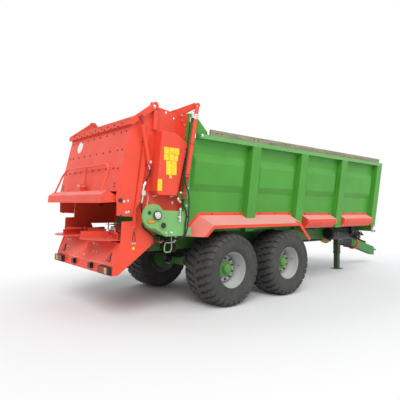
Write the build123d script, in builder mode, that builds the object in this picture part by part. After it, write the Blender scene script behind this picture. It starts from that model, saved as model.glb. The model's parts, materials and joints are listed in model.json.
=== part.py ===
from build123d import *
import os
from math import atan, cos, hypot, sin, tan

# Manure spreader: tandem-axle box body, lifting rear gate, two horizontal beaters,
# a hinged hood and two spreading discs.  Millimetres.  +X is the drawbar end, +Z up,
# the ground is Z = 0.  Side views are drawn as (distance ahead of the rear axle, height).

# ---------------------------------------------------------------- driving dimensions
REAR_AXLE_X = -2460.0
WHEELBASE = 1420.0
TRACK = 1950.0

# Wheels
TYRE_D = 1170.0
TYRE_W = 600.0
TYRE_CROWN_W = 470.0
TYRE_WALL = 32.0
RIM_D = 571.5
RIM_W = 524.0
FLANGE_D = 608.0
RIM_SHEET = 8.0
RIM_WELL = 44.0
DISC_OUT = 55.0
DISC_PLATE = 16.0
STUD_CIRCLE_D = 335.0
STUD_D = 22.0
STUD_COUNT = 10
HUB_D = 270.0
HUB_NOSE_D = 150.0
HUB_NOSE = 95.0
SPINDLE_D = 90.0
SPINDLE_CLEARANCE = 0.05
BEAD_CLEARANCE = 0.3

# Axles and springs
AXLE_BEAM = 130.0
DRUM_D = 400.0
DRUM_W = 150.0
SPRING_W = 90.0
SPRING_THICK = 90.0
SPRING_TIP = 34.0

# Chassis
BEAM_Y = 450.0
BEAM_W = 100.0
BEAM_BOTTOM = 885.0
BEAM_TOP = 1110.0
BODY_BOTTOM = 1190.0
CROSS_W = 110.0
FLOOR_BOTTOM = 1245.0
FLOOR_THICK = 15.0
FLOOR_TOP = FLOOR_BOTTOM + FLOOR_THICK

# Box: the side walls lean outwards
BOX_REAR = -800.0
BOX_FRONT = 4960.0
RAIL_BOTTOM = 2623.0
RAIL_TOP = 2689.0
WALL_FOOT_Y = 937.0
WALL_TOP_Y = 1106.0
SHEET = 4.0
POST_W = 210.0
POST_DEPTH = 110.0
POST_CENTRES = (564.0, 1923.0, 3346.0, 4890.0)
PRESS_DEPTH = 50.0
PRESS_LOW = 632.0
PRESS_LOW_SLOPE = 126.0
PRESS_HIGH = 1232.0
PRESS_HIGH_SLOPE = 134.0
PRESS_END = 55.0
BOARD_H = 90.0
BOARD_THICK = 35.0
BOARD_OUT = 78.0
FRONT_WALL_BOTTOM = 1040.0

# Portal and gate
PORTAL_REAR = -905.0
PORTAL_W = 80.0
PORTAL_TOP = 2960.0
PORTAL_BEAM_H = 140.0
GATE_THICK = 6.0
GATE_RIB = 34.0
GATE_HALF_W = 915.0
GATE_TOP = 2930.0
GATE_CLEARANCE = 5.0

# Spreading unit
SIDE_Y = 980.0
SIDE_PLATE = 6.0
HOOD_PIVOT = (-1385.0, 3020.0)
HOOD_INNER_Y = 996.0
HOOD_SHEET = 5.0
FLAP_PIVOT = (-1893.0, 1666.0)
BEATER_X = -1285.0
BEATER_LOW_Z = 1860.0
BEATER_HIGH_Z = 2460.0
BEATER_R = 285.0
BEATER_CORE_R = 90.0
BEATER_HALF_L = 905.0
DISC_X = -1730.0
DISC_Y = 480.0
DISC_R = 470.0
DISC_Z = 1112.0
DISC_THICK = 10.0
DECK_Z = 1074.0

# Drawbar and stand
DRAWBAR_W = 120.0
EYE_X = 7065.0
EYE_Z = 380.0
EYE_BORE_D = 50.0
EYE_D = 110.0
EYE_THICK = 40.0
JACK_X = 5054.0
JACK_TUBE = 130.0
JACK_WALL = 8.0
JACK_FOOT = 240.0
JACK_FOOT_THICK = 14.0
JACK_GAP = 0.5

LEAN = atan((WALL_TOP_Y - WALL_FOOT_Y) / (RAIL_BOTTOM - BODY_BOTTOM))
WHEEL_Z = TYRE_D / 2
WHEEL_Y = TRACK / 2

os.makedirs("parts", exist_ok=True)


# ------------------------------------------------------------------------- helpers
def ahead(distance):
    """X of a place given by its distance ahead of the rear axle."""
    return REAR_AXLE_X + distance


def up_wall(height):
    """Distance along the leaning wall from its foot to a height."""
    return (height - BODY_BOTTOM) / cos(LEAN)


def wall_y(height, depth):
    """Y (as a positive number) of the wall at a height, depth out from its inner face."""
    return WALL_FOOT_Y + (height - BODY_BOTTOM) * tan(LEAN) + depth / cos(LEAN)


# Local frame of the right wall: x forward, y up the slope, z outwards, from the inner face.
WALL = Plane(
    origin=(0, -WALL_FOOT_Y, BODY_BOTTOM),
    x_dir=(1, 0, 0),
    z_dir=(0, -cos(LEAN), -sin(LEAN)),
)


def finish(piece, name):
    """Label a piece and write its STEP file."""
    piece.part.label = name
    export_step(piece.part, f"parts/{name}.step")


def block(x_range, y_range, z_range, mode=Mode.ADD):
    """A box between (distance ahead), Y and Z limits."""
    size = [high - low for low, high in (x_range, y_range, z_range)]
    centre = [(low + high) / 2 for low, high in (x_range, y_range, z_range)]
    with Locations((ahead(centre[0]), centre[1], centre[2])):
        Box(*size, mode=mode)


def wall_block(x_range, up_range, out_range, mode=Mode.ADD):
    """A box in the right wall's own frame."""
    with BuildSketch(WALL.offset(out_range[0])) as face:
        with Locations((ahead((x_range[0] + x_range[1]) / 2), (up_range[0] + up_range[1]) / 2)):
            Rectangle(x_range[1] - x_range[0], up_range[1] - up_range[0])
    extrude(face.sketch, amount=out_range[1] - out_range[0], mode=mode)


def side_plate(outline, inner_y, thickness, mode=Mode.ADD):
    """A right-side plate: outline in (distance ahead, height), from inner_y outwards."""
    with BuildSketch(Plane.XZ.offset(inner_y)) as face:
        with BuildLine():
            Polyline([(ahead(x), z) for x, z in outline], close=True)
        make_face()
    extrude(face.sketch, amount=thickness, mode=mode)


def rod_y(x, z, radius, y_range, mode=Mode.ADD):
    """A round bar along Y at (distance ahead, height)."""
    with Locations(Location((ahead(x), y_range[0], z), (-90, 0, 0))):
        Cylinder(radius, y_range[1] - y_range[0], align=(Align.CENTER, Align.CENTER, Align.MIN), mode=mode)


def mirrored(piece):
    """The same piece on the other side of the machine."""
    with BuildPart() as other:
        mirror(piece.part, about=Plane.XZ)
    return other


# -------------------------------------------------------------------------- chassis
CROSS_XS = (-640.0,) + POST_CENTRES
CHASSIS_REAR = -1150.0
BOGIE_X = WHEELBASE / 2
BOGIE_PIN_Z = 760.0
BOGIE_PIN_R = 22.0
HANGER_GAP = SPRING_W / 2 + 0.3
HANGER_THICK = 15.0

with BuildPart() as chassis_beams:
    for side in (-1, 1):
        y = side * BEAM_Y
        block((CHASSIS_REAR, BOX_FRONT + 50), (y - BEAM_W / 2, y + BEAM_W / 2), (BEAM_BOTTOM, BEAM_TOP))
        # cheeks and pin that hold the middle of the spring
        for hanger_y in (y - HANGER_GAP - HANGER_THICK, y + HANGER_GAP):
            block(
                (BOGIE_X - 130, BOGIE_X + 130),
                (hanger_y, hanger_y + HANGER_THICK),
                (BOGIE_PIN_Z - 60, BEAM_BOTTOM + 60),
            )
        rod_y(BOGIE_X, BOGIE_PIN_Z, BOGIE_PIN_R, (y - HANGER_GAP - 5, y + HANGER_GAP + 5))
finish(chassis_beams, "chassis_beams")

BEAM_INSIDE = BEAM_Y - BEAM_W / 2
with BuildPart() as cross_members:
    for bearer_x in (PORTAL_REAR + PORTAL_W / 2,) + CROSS_XS:
        block((bearer_x - CROSS_W / 2, bearer_x + CROSS_W / 2), (-520, 520), (BEAM_TOP, BODY_BOTTOM))
    for cross_x in CROSS_XS:
        block(
            (cross_x - CROSS_W / 2, cross_x + CROSS_W / 2),
            (0.2 - WALL_FOOT_Y, WALL_FOOT_Y - 0.2),
            (BODY_BOTTOM, FLOOR_BOTTOM),
        )
    for end_x in (CHASSIS_REAR, BOX_FRONT + 50 - CROSS_W):
        block((end_x, end_x + CROSS_W), (-BEAM_INSIDE, BEAM_INSIDE), (BEAM_BOTTOM, BEAM_TOP))
finish(cross_members, "cross_members")

# ------------------------------------------------------------------ axles and springs
for axle_name, axle_x in (("rear_axle", 0.0), ("front_axle", WHEELBASE)):
    with BuildPart() as axle:
        half = WHEEL_Y - TYRE_W / 2 + 15
        block(
            (axle_x - AXLE_BEAM / 2, axle_x + AXLE_BEAM / 2),
            (-half, half),
            (WHEEL_Z - AXLE_BEAM / 2, WHEEL_Z + AXLE_BEAM / 2),
        )
        for side in (-1, 1):
            y_drum = side * (half + DRUM_W / 2)
            rod_y(axle_x, WHEEL_Z, DRUM_D / 2, (y_drum - DRUM_W / 2, y_drum + DRUM_W / 2))
            y_tip = side * (WHEEL_Y + DISC_OUT + 40)
            rod_y(axle_x, WHEEL_Z, SPINDLE_D / 2, (min(y_drum, y_tip), max(y_drum, y_tip)))
    finish(axle, axle_name)

SPRING_SEAT = WHEEL_Z + AXLE_BEAM / 2
with BuildPart() as leaf_springs:
    with BuildSketch(Plane.XZ.offset(BEAM_Y - SPRING_W / 2)):
        with BuildLine():
            Polyline(
                (ahead(-90), SPRING_SEAT),
                (ahead(90), SPRING_SEAT),
                (ahead(BOGIE_X - 150), BOGIE_PIN_Z - SPRING_THICK / 2),
                (ahead(BOGIE_X + 150), BOGIE_PIN_Z - SPRING_THICK / 2),
                (ahead(WHEELBASE - 90), SPRING_SEAT),
                (ahead(WHEELBASE + 90), SPRING_SEAT),
                (ahead(WHEELBASE + 90), SPRING_SEAT + SPRING_TIP),
                (ahead(WHEELBASE - 80), SPRING_SEAT + SPRING_TIP),
                (ahead(BOGIE_X + 150), BOGIE_PIN_Z + SPRING_THICK / 2),
                (ahead(BOGIE_X - 150), BOGIE_PIN_Z + SPRING_THICK / 2),
                (ahead(80), SPRING_SEAT + SPRING_TIP),
                (ahead(-90), SPRING_SEAT + SPRING_TIP),
                close=True,
            )
        make_face()
    extrude(amount=SPRING_W)
    rod_y(
        BOGIE_X,
        BOGIE_PIN_Z,
        BOGIE_PIN_R + 0.3,
        (-BEAM_Y - SPRING_W / 2 - 1, -BEAM_Y + SPRING_W / 2 + 1),
        mode=Mode.SUBTRACT,
    )
    mirror(about=Plane.XZ)
finish(leaf_springs, "leaf_springs")

# --------------------------------------------------------------------------- wheels
BEAD_R = RIM_D / 2 + BEAD_CLEARANCE
RIM_IN = RIM_W / 2 - 14
for wheel_name, wheel_x, side in (
    ("rear_right", 0.0, -1),
    ("rear_left", 0.0, 1),
    ("front_right", WHEELBASE, -1),
    ("front_left", WHEELBASE, 1),
):
    # Section plane: local x along the axle towards the outside, local y away from the axle.
    section = Plane(
        origin=(ahead(wheel_x), side * WHEEL_Y, WHEEL_Z),
        x_dir=(0, side, 0),
        z_dir=(side, 0, 0),
    )
    spin = Axis((ahead(wheel_x), 0, WHEEL_Z), (0, 1, 0))
    with BuildPart() as tyre:
        with BuildSketch(section):
            with BuildLine():
                half = TYRE_W / 2
                crown = TYRE_CROWN_W / 2
                top = TYRE_D / 2
                lip_r = FLANGE_D / 2 + 3
                Line((-RIM_IN, BEAD_R), (-RIM_IN, lip_r))
                ThreePointArc((-RIM_IN, lip_r), (-half, (lip_r + top) / 2 - 20), (-crown, top - 22))
                ThreePointArc((-crown, top - 22), (0, top), (crown, top - 22))
                ThreePointArc((crown, top - 22), (half, (lip_r + top) / 2 - 20), (RIM_IN, lip_r))
                Line((RIM_IN, lip_r), (RIM_IN, BEAD_R))
                Line((RIM_IN, BEAD_R), (RIM_IN - TYRE_WALL, BEAD_R))
                ThreePointArc(
                    (RIM_IN - TYRE_WALL, BEAD_R),
                    (half - TYRE_WALL, (BEAD_R + top) / 2),
                    (crown - 30, top - 22 - TYRE_WALL),
                )
                Line((crown - 30, top - 22 - TYRE_WALL), (30 - crown, top - 22 - TYRE_WALL))
                ThreePointArc(
                    (30 - crown, top - 22 - TYRE_WALL),
                    (TYRE_WALL - half, (BEAD_R + top) / 2),
                    (TYRE_WALL - RIM_IN, BEAD_R),
                )
                Line((TYRE_WALL - RIM_IN, BEAD_R), (-RIM_IN, BEAD_R))
            make_face()
        revolve(axis=spin)
    finish(tyre, f"{wheel_name}_tyre")

    with BuildPart() as rim:
        with BuildSketch(section):
            with BuildLine():
                seat = RIM_D / 2
                well = seat - RIM_WELL
                flange = FLANGE_D / 2
                lip = RIM_W / 2
                Polyline(
                    (-lip, flange),
                    (-RIM_IN - 0.5, flange),
                    (-RIM_IN - 0.5, seat),
                    (-RIM_IN + 60, seat),
                    (-RIM_IN + 100, well),
                    (RIM_IN - 100, well),
                    (RIM_IN - 60, seat),
                    (RIM_IN + 0.5, seat),
                    (RIM_IN + 0.5, flange),
                    (lip, flange),
                    (lip, flange - 10),
                    (RIM_IN + 4, seat - RIM_SHEET),
                    (RIM_IN - 62, seat - RIM_SHEET),
                    (RIM_IN - 102, well - RIM_SHEET),
                    (-RIM_IN + 102, well - RIM_SHEET),
                    (-RIM_IN + 62, seat - RIM_SHEET),
                    (-RIM_IN - 4, seat - RIM_SHEET),
                    (-lip, flange - 10),
                    close=True,
                )
            make_face()
            # dished disc, hub flange, hub barrel and nose
            with BuildLine():
                bore = SPINDLE_D / 2 + SPINDLE_CLEARANCE
                inner = WHEEL_Y - TYRE_W / 2 + 15 + DRUM_W + 6 - WHEEL_Y
                Polyline(
                    (DISC_OUT, well - RIM_SHEET / 2),
                    (DISC_OUT - 30, HUB_D / 2 + 40),
                    (DISC_OUT - 30, HUB_D / 2),
                    (DISC_OUT - 60, HUB_D / 2),
                    (DISC_OUT - 60, HUB_NOSE_D / 2 + 12),
                    (inner, HUB_NOSE_D / 2 + 12),
                    (inner, bore),
                    (DISC_OUT + 41, bore),
                    (DISC_OUT + 41, 0),
                    (DISC_OUT + HUB_NOSE, 0),
                    (DISC_OUT + HUB_NOSE, HUB_NOSE_D / 2 - 22),
                    (DISC_OUT + HUB_NOSE - 14, HUB_NOSE_D / 2 - 6),
                    (DISC_OUT + 30, HUB_NOSE_D / 2),
                    (DISC_OUT - 4, HUB_D / 2 - 18),
                    (DISC_OUT - 14, HUB_D / 2),
                    (DISC_OUT - 14, HUB_D / 2 + 40),
                    (DISC_OUT + DISC_PLATE, well - RIM_SHEET / 2),
                    close=True,
                )
            make_face()
        revolve(axis=spin)
        face = Plane(
            origin=(ahead(wheel_x), side * (WHEEL_Y + DISC_OUT - 14), WHEEL_Z),
            x_dir=(1, 0, 0),
            z_dir=(0, side, 0),
        )
        with BuildSketch(face):
            with PolarLocations(STUD_CIRCLE_D / 2, STUD_COUNT):
                Circle(STUD_D / 2)
        extrude(amount=34)
    finish(rim, f"{wheel_name}_wheel")

# ------------------------------------------------------------------ box: floor, walls
FLOOR_HALF = wall_y(FLOOR_BOTTOM, 0) - 0.3
with BuildPart() as box_floor:
    block((-940, BOX_FRONT - 4), (-FLOOR_HALF, FLOOR_HALF), (FLOOR_BOTTOM, FLOOR_TOP))
finish(box_floor, "box_floor")

CHAIN_Y = 470.0
SLAT_PITCH = 340.0
SLAT_COUNT = 17
SHAFT_X = -1010.0
SHAFT_Z = 1175.0
SPROCKET_R = 60.0
with BuildPart() as floor_conveyor:
    for side in (-1, 1):
        y = side * CHAIN_Y
        block((-900, BOX_FRONT - 60), (y - 18, y + 18), (FLOOR_TOP, FLOOR_TOP + 24))
    for slat in range(SLAT_COUNT):
        x = -880 + slat * SLAT_PITCH
        block((x, x + 45), (-880, 880), (FLOOR_TOP, FLOOR_TOP + 30))
finish(floor_conveyor, "floor_conveyor")

bay_edges = [PORTAL_REAR]
for centre in POST_CENTRES:
    bay_edges += [centre - POST_W / 2, centre + POST_W / 2]
bays = [(bay_edges[index], bay_edges[index + 1]) for index in range(0, 8, 2)]

with BuildPart() as side_wall_right:
    wall_block((PORTAL_REAR, BOX_FRONT), (0, up_wall(RAIL_BOTTOM)), (0, SHEET))
    for bay_rear, bay_front in bays:
        start = max(bay_rear, BOX_REAR) + 40
        stop = bay_front - 60
        for inset, depth, mode in ((0, PRESS_DEPTH, Mode.ADD), (SHEET, PRESS_DEPTH - SHEET, Mode.SUBTRACT)):
            middle = ahead((start + stop) / 2)
            with BuildSketch(WALL):
                with Locations((middle, (PRESS_LOW + PRESS_HIGH) / 2)):
                    Rectangle(stop - start - 2 * inset, PRESS_HIGH - PRESS_LOW - 2 * inset)
            low = PRESS_LOW + PRESS_LOW_SLOPE
            high = PRESS_HIGH - PRESS_HIGH_SLOPE
            with BuildSketch(WALL.offset(SHEET + depth)):
                with Locations((middle, (low + high) / 2)):
                    Rectangle(stop - start - 2 * PRESS_END - 2 * inset, high - low - 2 * inset)
            loft(mode=mode)
finish(side_wall_right, "side_wall_right")
side_wall_left = mirrored(side_wall_right)
finish(side_wall_left, "side_wall_left")

with BuildPart() as wall_posts:
    for centre in POST_CENTRES:
        edge = POST_W / 2
        top_up = up_wall(RAIL_BOTTOM)
        wall_block((centre - edge, centre + edge), (0, top_up), (SHEET, SHEET + POST_DEPTH))
        wall_block(
            (centre - edge + SHEET, centre + edge - SHEET),
            (0, top_up),
            (SHEET, POST_DEPTH),
            mode=Mode.SUBTRACT,
        )
    mirror(about=Plane.XZ)
finish(wall_posts, "wall_posts")

RAIL_REAR = -700.0
with BuildPart() as top_rails:
    wall_block(
        (RAIL_REAR, BOX_FRONT + 45),
        (up_wall(RAIL_BOTTOM), up_wall(RAIL_TOP)),
        (-8, SHEET + POST_DEPTH),
    )
    mirror(about=Plane.XZ)
finish(top_rails, "top_rails")

with BuildPart() as top_boards:
    board_foot = up_wall(RAIL_TOP)
    wall_block(
        (-480, BOX_FRONT - 60),
        (board_foot, board_foot + BOARD_H),
        (BOARD_OUT - BOARD_THICK, BOARD_OUT),
    )
    mirror(about=Plane.XZ)
finish(top_boards, "top_boards")

with BuildPart() as front_wall:
    low_y = wall_y(FRONT_WALL_BOTTOM, 0)
    high_y = wall_y(RAIL_TOP + 40, 0)
    with BuildSketch(Plane.YZ.offset(ahead(BOX_FRONT))):
        Polygon(
            (-low_y - 70, FRONT_WALL_BOTTOM),
            (low_y + 70, FRONT_WALL_BOTTOM),
            (high_y - 20, RAIL_TOP + 40),
            (20 - high_y, RAIL_TOP + 40),
            align=None,
        )
    extrude(amount=6)
    beam_edge = BEAM_Y + BEAM_W / 2 + 0.3
    block((BOX_FRONT - 1, BOX_FRONT + 7), (-beam_edge, beam_edge), (1000, BEAM_TOP + 0.3), mode=Mode.SUBTRACT)
finish(front_wall, "front_wall")

# ------------------------------------------------------------------ skirts and fenders
SKIRT_TOP = 1487.0
SKIRT_REAR = 2150.0
with BuildPart() as side_skirts:
    for skirt_rear, skirt_front in (
        (SKIRT_REAR, POST_CENTRES[2] - POST_W / 2 - 70),
        (POST_CENTRES[2] + POST_W / 2 + 40, 4720),
    ):
        with BuildSketch(Plane.YZ.offset(ahead(skirt_rear))):
            with BuildLine():
                top = -wall_y(SKIRT_TOP, SHEET + 0.3) - SHEET
                strip = -wall_y(SKIRT_TOP - 40, SHEET + 0.3) - SHEET
                Polyline(
                    (top, SKIRT_TOP),
                    (strip, SKIRT_TOP - 40),
                    (-1130, 1365),
                    (-1130, 1285),
                    (-1030, 1185),
                    (-1026, 1189),
                    (-1126, 1287),
                    (-1126, 1363),
                    (strip + 4, SKIRT_TOP - 38),
                    (top + 4, SKIRT_TOP),
                    close=True,
                )
            make_face()
        extrude(amount=skirt_front - skirt_rear)
        for cap_x in (skirt_rear, skirt_front - SHEET):
            with BuildSketch(Plane.YZ.offset(ahead(cap_x))):
                Polygon(
                    (top + 4, SKIRT_TOP),
                    (strip, SKIRT_TOP - 40),
                    (-1130, 1365),
                    (-1130, 1285),
                    (-1030, 1185),
                    (-wall_y(1250, SHEET + 2), 1250),
                    align=None,
                )
            extrude(amount=SHEET)
    mirror(about=Plane.XZ)
finish(side_skirts, "side_skirts")

FENDER_PATH = ((-1000, 1010), (-520, 1490), (1780, 1490), (2188, 1140))
FENDER_END = (-885.0, 1134.0)
FENDER_OUT = 315.0
FENDER_SKIRT_Y = 1131.0

with BuildPart() as wheel_fenders:
    with BuildLine(WALL):
        Polyline([(ahead(x), up_wall(z)) for x, z in FENDER_PATH])
    with BuildSketch(
        Plane(
            origin=WALL.from_local_coords((ahead(FENDER_PATH[0][0]), up_wall(FENDER_PATH[0][1]), 0)),
            x_dir=WALL.z_dir,
            z_dir=WALL.from_local_coords((1, 1, 0)) - WALL.from_local_coords((0, 0, 0)),
        )
    ):
        Polygon(
            (SHEET + 0.3, -10),
            (SHEET + 0.3, 40),
            (FENDER_OUT - SHEET, 150),
            (FENDER_OUT - SHEET, 200),
            (FENDER_OUT, 200),
            (FENDER_OUT, 147),
            (SHEET + 4.3, 37),
            (SHEET + 4.3, -10),
            align=None,
        )
    sweep(transition=Transition.RIGHT)
    # rear end cut upright and level, notches round the posts
    block((-1600, FENDER_END[0]), (-1500, 0), (800, 1600), mode=Mode.SUBTRACT)
    block((-1600, -500), (-1500, 0), (800, FENDER_END[1]), mode=Mode.SUBTRACT)
    for post_rear, post_front in (
        (PORTAL_REAR, PORTAL_REAR + PORTAL_W),
        (POST_CENTRES[0] - POST_W / 2, POST_CENTRES[0] + POST_W / 2),
        (POST_CENTRES[1] - POST_W / 2, POST_CENTRES[1] + POST_W / 2),
    ):
        wall_block(
            (post_rear - 1, post_front + 1),
            (-200, 500),
            (0, SHEET + POST_DEPTH + 1),
            mode=Mode.SUBTRACT,
        )
    block((SKIRT_REAR - 1, 2700), (-FENDER_SKIRT_Y, 0), (1100, 1600), mode=Mode.SUBTRACT)
    mirror(about=Plane.XZ)
finish(wheel_fenders, "wheel_fenders")

# ---------------------------------------------------------------------- portal and gate
CYLINDER_TOP = (-785.0, 3085.0)
CYLINDER_FOOT = (-1010.0, 1745.0)
CYLINDER_Y = 1235.0
CYLINDER_R = 31.0
CYLINDER_EYE_R = 32.0
CYLINDER_EYE_W = 46.0
EYE_IN_Y = CYLINDER_Y - CYLINDER_EYE_W / 2
EYE_OUT_Y = CYLINDER_Y + CYLINDER_EYE_W / 2
CYLINDER_PIN_R = 15.0
PIN_CLEARANCE = 0.05
PORTAL_FACE_Y = 1185.0
BEAM_UNDER = PORTAL_TOP - PORTAL_BEAM_H
CHEEK_Y = 905.0

with BuildPart() as rear_portal:
    portal_front = PORTAL_REAR + PORTAL_W
    wall_block((PORTAL_REAR, portal_front), (0, up_wall(PORTAL_TOP)), (SHEET, SHEET + POST_DEPTH))
    # upright outer face beside the gate cylinder
    block((PORTAL_REAR - 1, portal_front + 1), (-1400, -PORTAL_FACE_Y), (2000, 3100), mode=Mode.SUBTRACT)
    with BuildSketch(WALL.offset(SHEET)):
        with BuildLine():
            Polyline(
                (ahead(portal_front), up_wall(PORTAL_TOP) - 10),
                (ahead(-735), up_wall(PORTAL_TOP) - 20),
                (ahead(-500), up_wall(2740)),
                (ahead(-482), up_wall(RAIL_TOP)),
                (ahead(portal_front), up_wall(RAIL_TOP)),
                close=True,
            )
        make_face()
    extrude(amount=10)
    # cheek that closes the wedge between the upright gate and the leaning wall
    with BuildSketch(Plane.YZ.offset(ahead(PORTAL_REAR))):
        Polygon(
            (-CHEEK_Y, FLOOR_TOP),
            (-CHEEK_Y, BEAM_UNDER),
            (-wall_y(BEAM_UNDER, SHEET), BEAM_UNDER),
            (-wall_y(FLOOR_TOP, SHEET), FLOOR_TOP),
            align=None,
        )
    extrude(amount=6)
    wall_block((PORTAL_REAR - 1, PORTAL_REAR + 7), (0, up_wall(BEAM_UNDER)), (-5, SHEET), mode=Mode.SUBTRACT)
    # bracket beside the foot of the gate cylinder
    block((PORTAL_REAR + 5, portal_front - 5), (-1160, -1085), (1700, 1800))
    block((CYLINDER_FOOT[0] - 35, portal_front - 5), (-1160, -1140), (1700, 1800))
    rod_y(*CYLINDER_FOOT, 30, (-EYE_IN_Y + GATE_CLEARANCE + 1, -1140))
    mirror(about=Plane.XZ)
    top_half = wall_y(PORTAL_TOP, SHEET)
    block((PORTAL_REAR, portal_front), (-top_half, top_half), (BEAM_UNDER, PORTAL_TOP))
    block((PORTAL_REAR, portal_front), (-WALL_FOOT_Y, WALL_FOOT_Y), (BODY_BOTTOM, FLOOR_BOTTOM))
finish(rear_portal, "rear_portal")

GATE_FRONT = PORTAL_REAR - GATE_CLEARANCE - 1
GATE_REAR = GATE_FRONT - GATE_THICK

with BuildPart() as gate:
    block((GATE_REAR, GATE_FRONT), (-GATE_HALF_W, GATE_HALF_W), (FLOOR_TOP + 0.5, GATE_TOP))
    for rib_z in (1310, 1700, 2100, 2500, GATE_TOP - 30):
        block((GATE_REAR - GATE_RIB, GATE_REAR), (-870, 870), (rib_z - 25, rib_z + 25))
finish(gate, "gate")

# Arms on the gate's top edge, over the portal to the head of each cylinder.
ARM_FOOT = (-930.0, -870.0)
ARM_TIP = (-800.0, -1190.0)
ARM_LOW_Z = PORTAL_TOP + 6
with BuildPart() as gate_arms:
    block((GATE_REAR - GATE_RIB, GATE_FRONT), (-GATE_HALF_W, -800), (GATE_TOP, ARM_LOW_Z + 84))
    arm_run = Vector(ARM_TIP[0] - ARM_FOOT[0], ARM_TIP[1] - ARM_FOOT[1], 0)
    with BuildSketch(
        Plane(
            origin=(ahead(ARM_FOOT[0]), ARM_FOOT[1], ARM_LOW_Z),
            x_dir=arm_run,
            z_dir=arm_run.cross(Vector(0, 0, 1)),
        )
    ):
        Polygon((0, 0), (140, 0), (arm_run.length, 74), (arm_run.length, 159), (0, 84), align=None)
    extrude(amount=12, both=True)
    rod_y(*CYLINDER_TOP, 36, (-CYLINDER_Y + CYLINDER_R + GATE_CLEARANCE, -1160))
    rod_y(*CYLINDER_TOP, CYLINDER_PIN_R, (-EYE_OUT_Y - 8, -1160))
    mirror(about=Plane.XZ)
finish(gate_arms, "gate_arms")

# Gate cylinders: the barrel hangs from the arm, the rod's eye stands beside the portal's bracket.
ROD_R = 20.0
ROD_CLEARANCE = 0.05
BORE_R = 25.0
BARREL_L = 1100.0
GLAND = 30.0
PISTON = (47.0, 87.0)
stroke = Vector(CYLINDER_FOOT[0] - CYLINDER_TOP[0], 0, CYLINDER_FOOT[1] - CYLINDER_TOP[1])
CYLINDER_L = stroke.length
stroke_axis = Plane(
    origin=(ahead(CYLINDER_TOP[0]), -CYLINDER_Y, CYLINDER_TOP[1]), x_dir=(0, 1, 0), z_dir=stroke
)

with BuildPart() as gate_barrel_right:
    with BuildSketch(stroke_axis.offset(CYLINDER_EYE_R - 8)):
        Circle(CYLINDER_R)
    extrude(amount=BARREL_L - CYLINDER_EYE_R + 8)
    rod_y(*CYLINDER_TOP, CYLINDER_EYE_R, (-EYE_OUT_Y, -EYE_IN_Y))
    with BuildSketch(stroke_axis.offset(PISTON[0] - 2)):
        Circle(BORE_R)
    extrude(amount=BARREL_L - GLAND - PISTON[0] + 2, mode=Mode.SUBTRACT)
    with BuildSketch(stroke_axis.offset(BARREL_L - GLAND - 1)):
        Circle(ROD_R + ROD_CLEARANCE)
    extrude(amount=GLAND + 2, mode=Mode.SUBTRACT)
    rod_y(*CYLINDER_TOP, CYLINDER_PIN_R + PIN_CLEARANCE, (-EYE_OUT_Y - 1, -EYE_IN_Y + 1), mode=Mode.SUBTRACT)
finish(gate_barrel_right, "gate_barrel_right")
finish(mirrored(gate_barrel_right), "gate_barrel_left")

with BuildPart() as gate_rod_right:
    with BuildSketch(stroke_axis.offset(PISTON[0])):
        Circle(BORE_R - ROD_CLEARANCE)
    extrude(amount=PISTON[1] - PISTON[0])
    with BuildSketch(stroke_axis.offset(PISTON[0])):
        Circle(ROD_R)
    extrude(amount=CYLINDER_L - PISTON[0] - 20)
    rod_y(*CYLINDER_FOOT, CYLINDER_EYE_R, (-EYE_OUT_Y, -EYE_IN_Y))
finish(gate_rod_right, "gate_rod_right")
finish(mirrored(gate_rod_right), "gate_rod_left")

# --------------------------------------------------------------- spreading unit: frame
SIDE_FRONT = PORTAL_REAR - 0.3
SHAFT_R = 30.0
HOOD_PIN_R = 25.0
ARM_IN_Y = HOOD_INNER_Y + HOOD_SHEET
ARM_THICK = 40.0
HOOD_CYL_LOW = (-1500.0, 2180.0)
HOOD_CYL_HIGH = (-1635.0, 2815.0)
HOOD_CYL_R = 28.0
HOOD_CYL_EYE_W = 24.0
HOOD_CYL_Y = ARM_IN_Y + ARM_THICK + GATE_CLEARANCE + 4 + HOOD_CYL_EYE_W / 2

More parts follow.
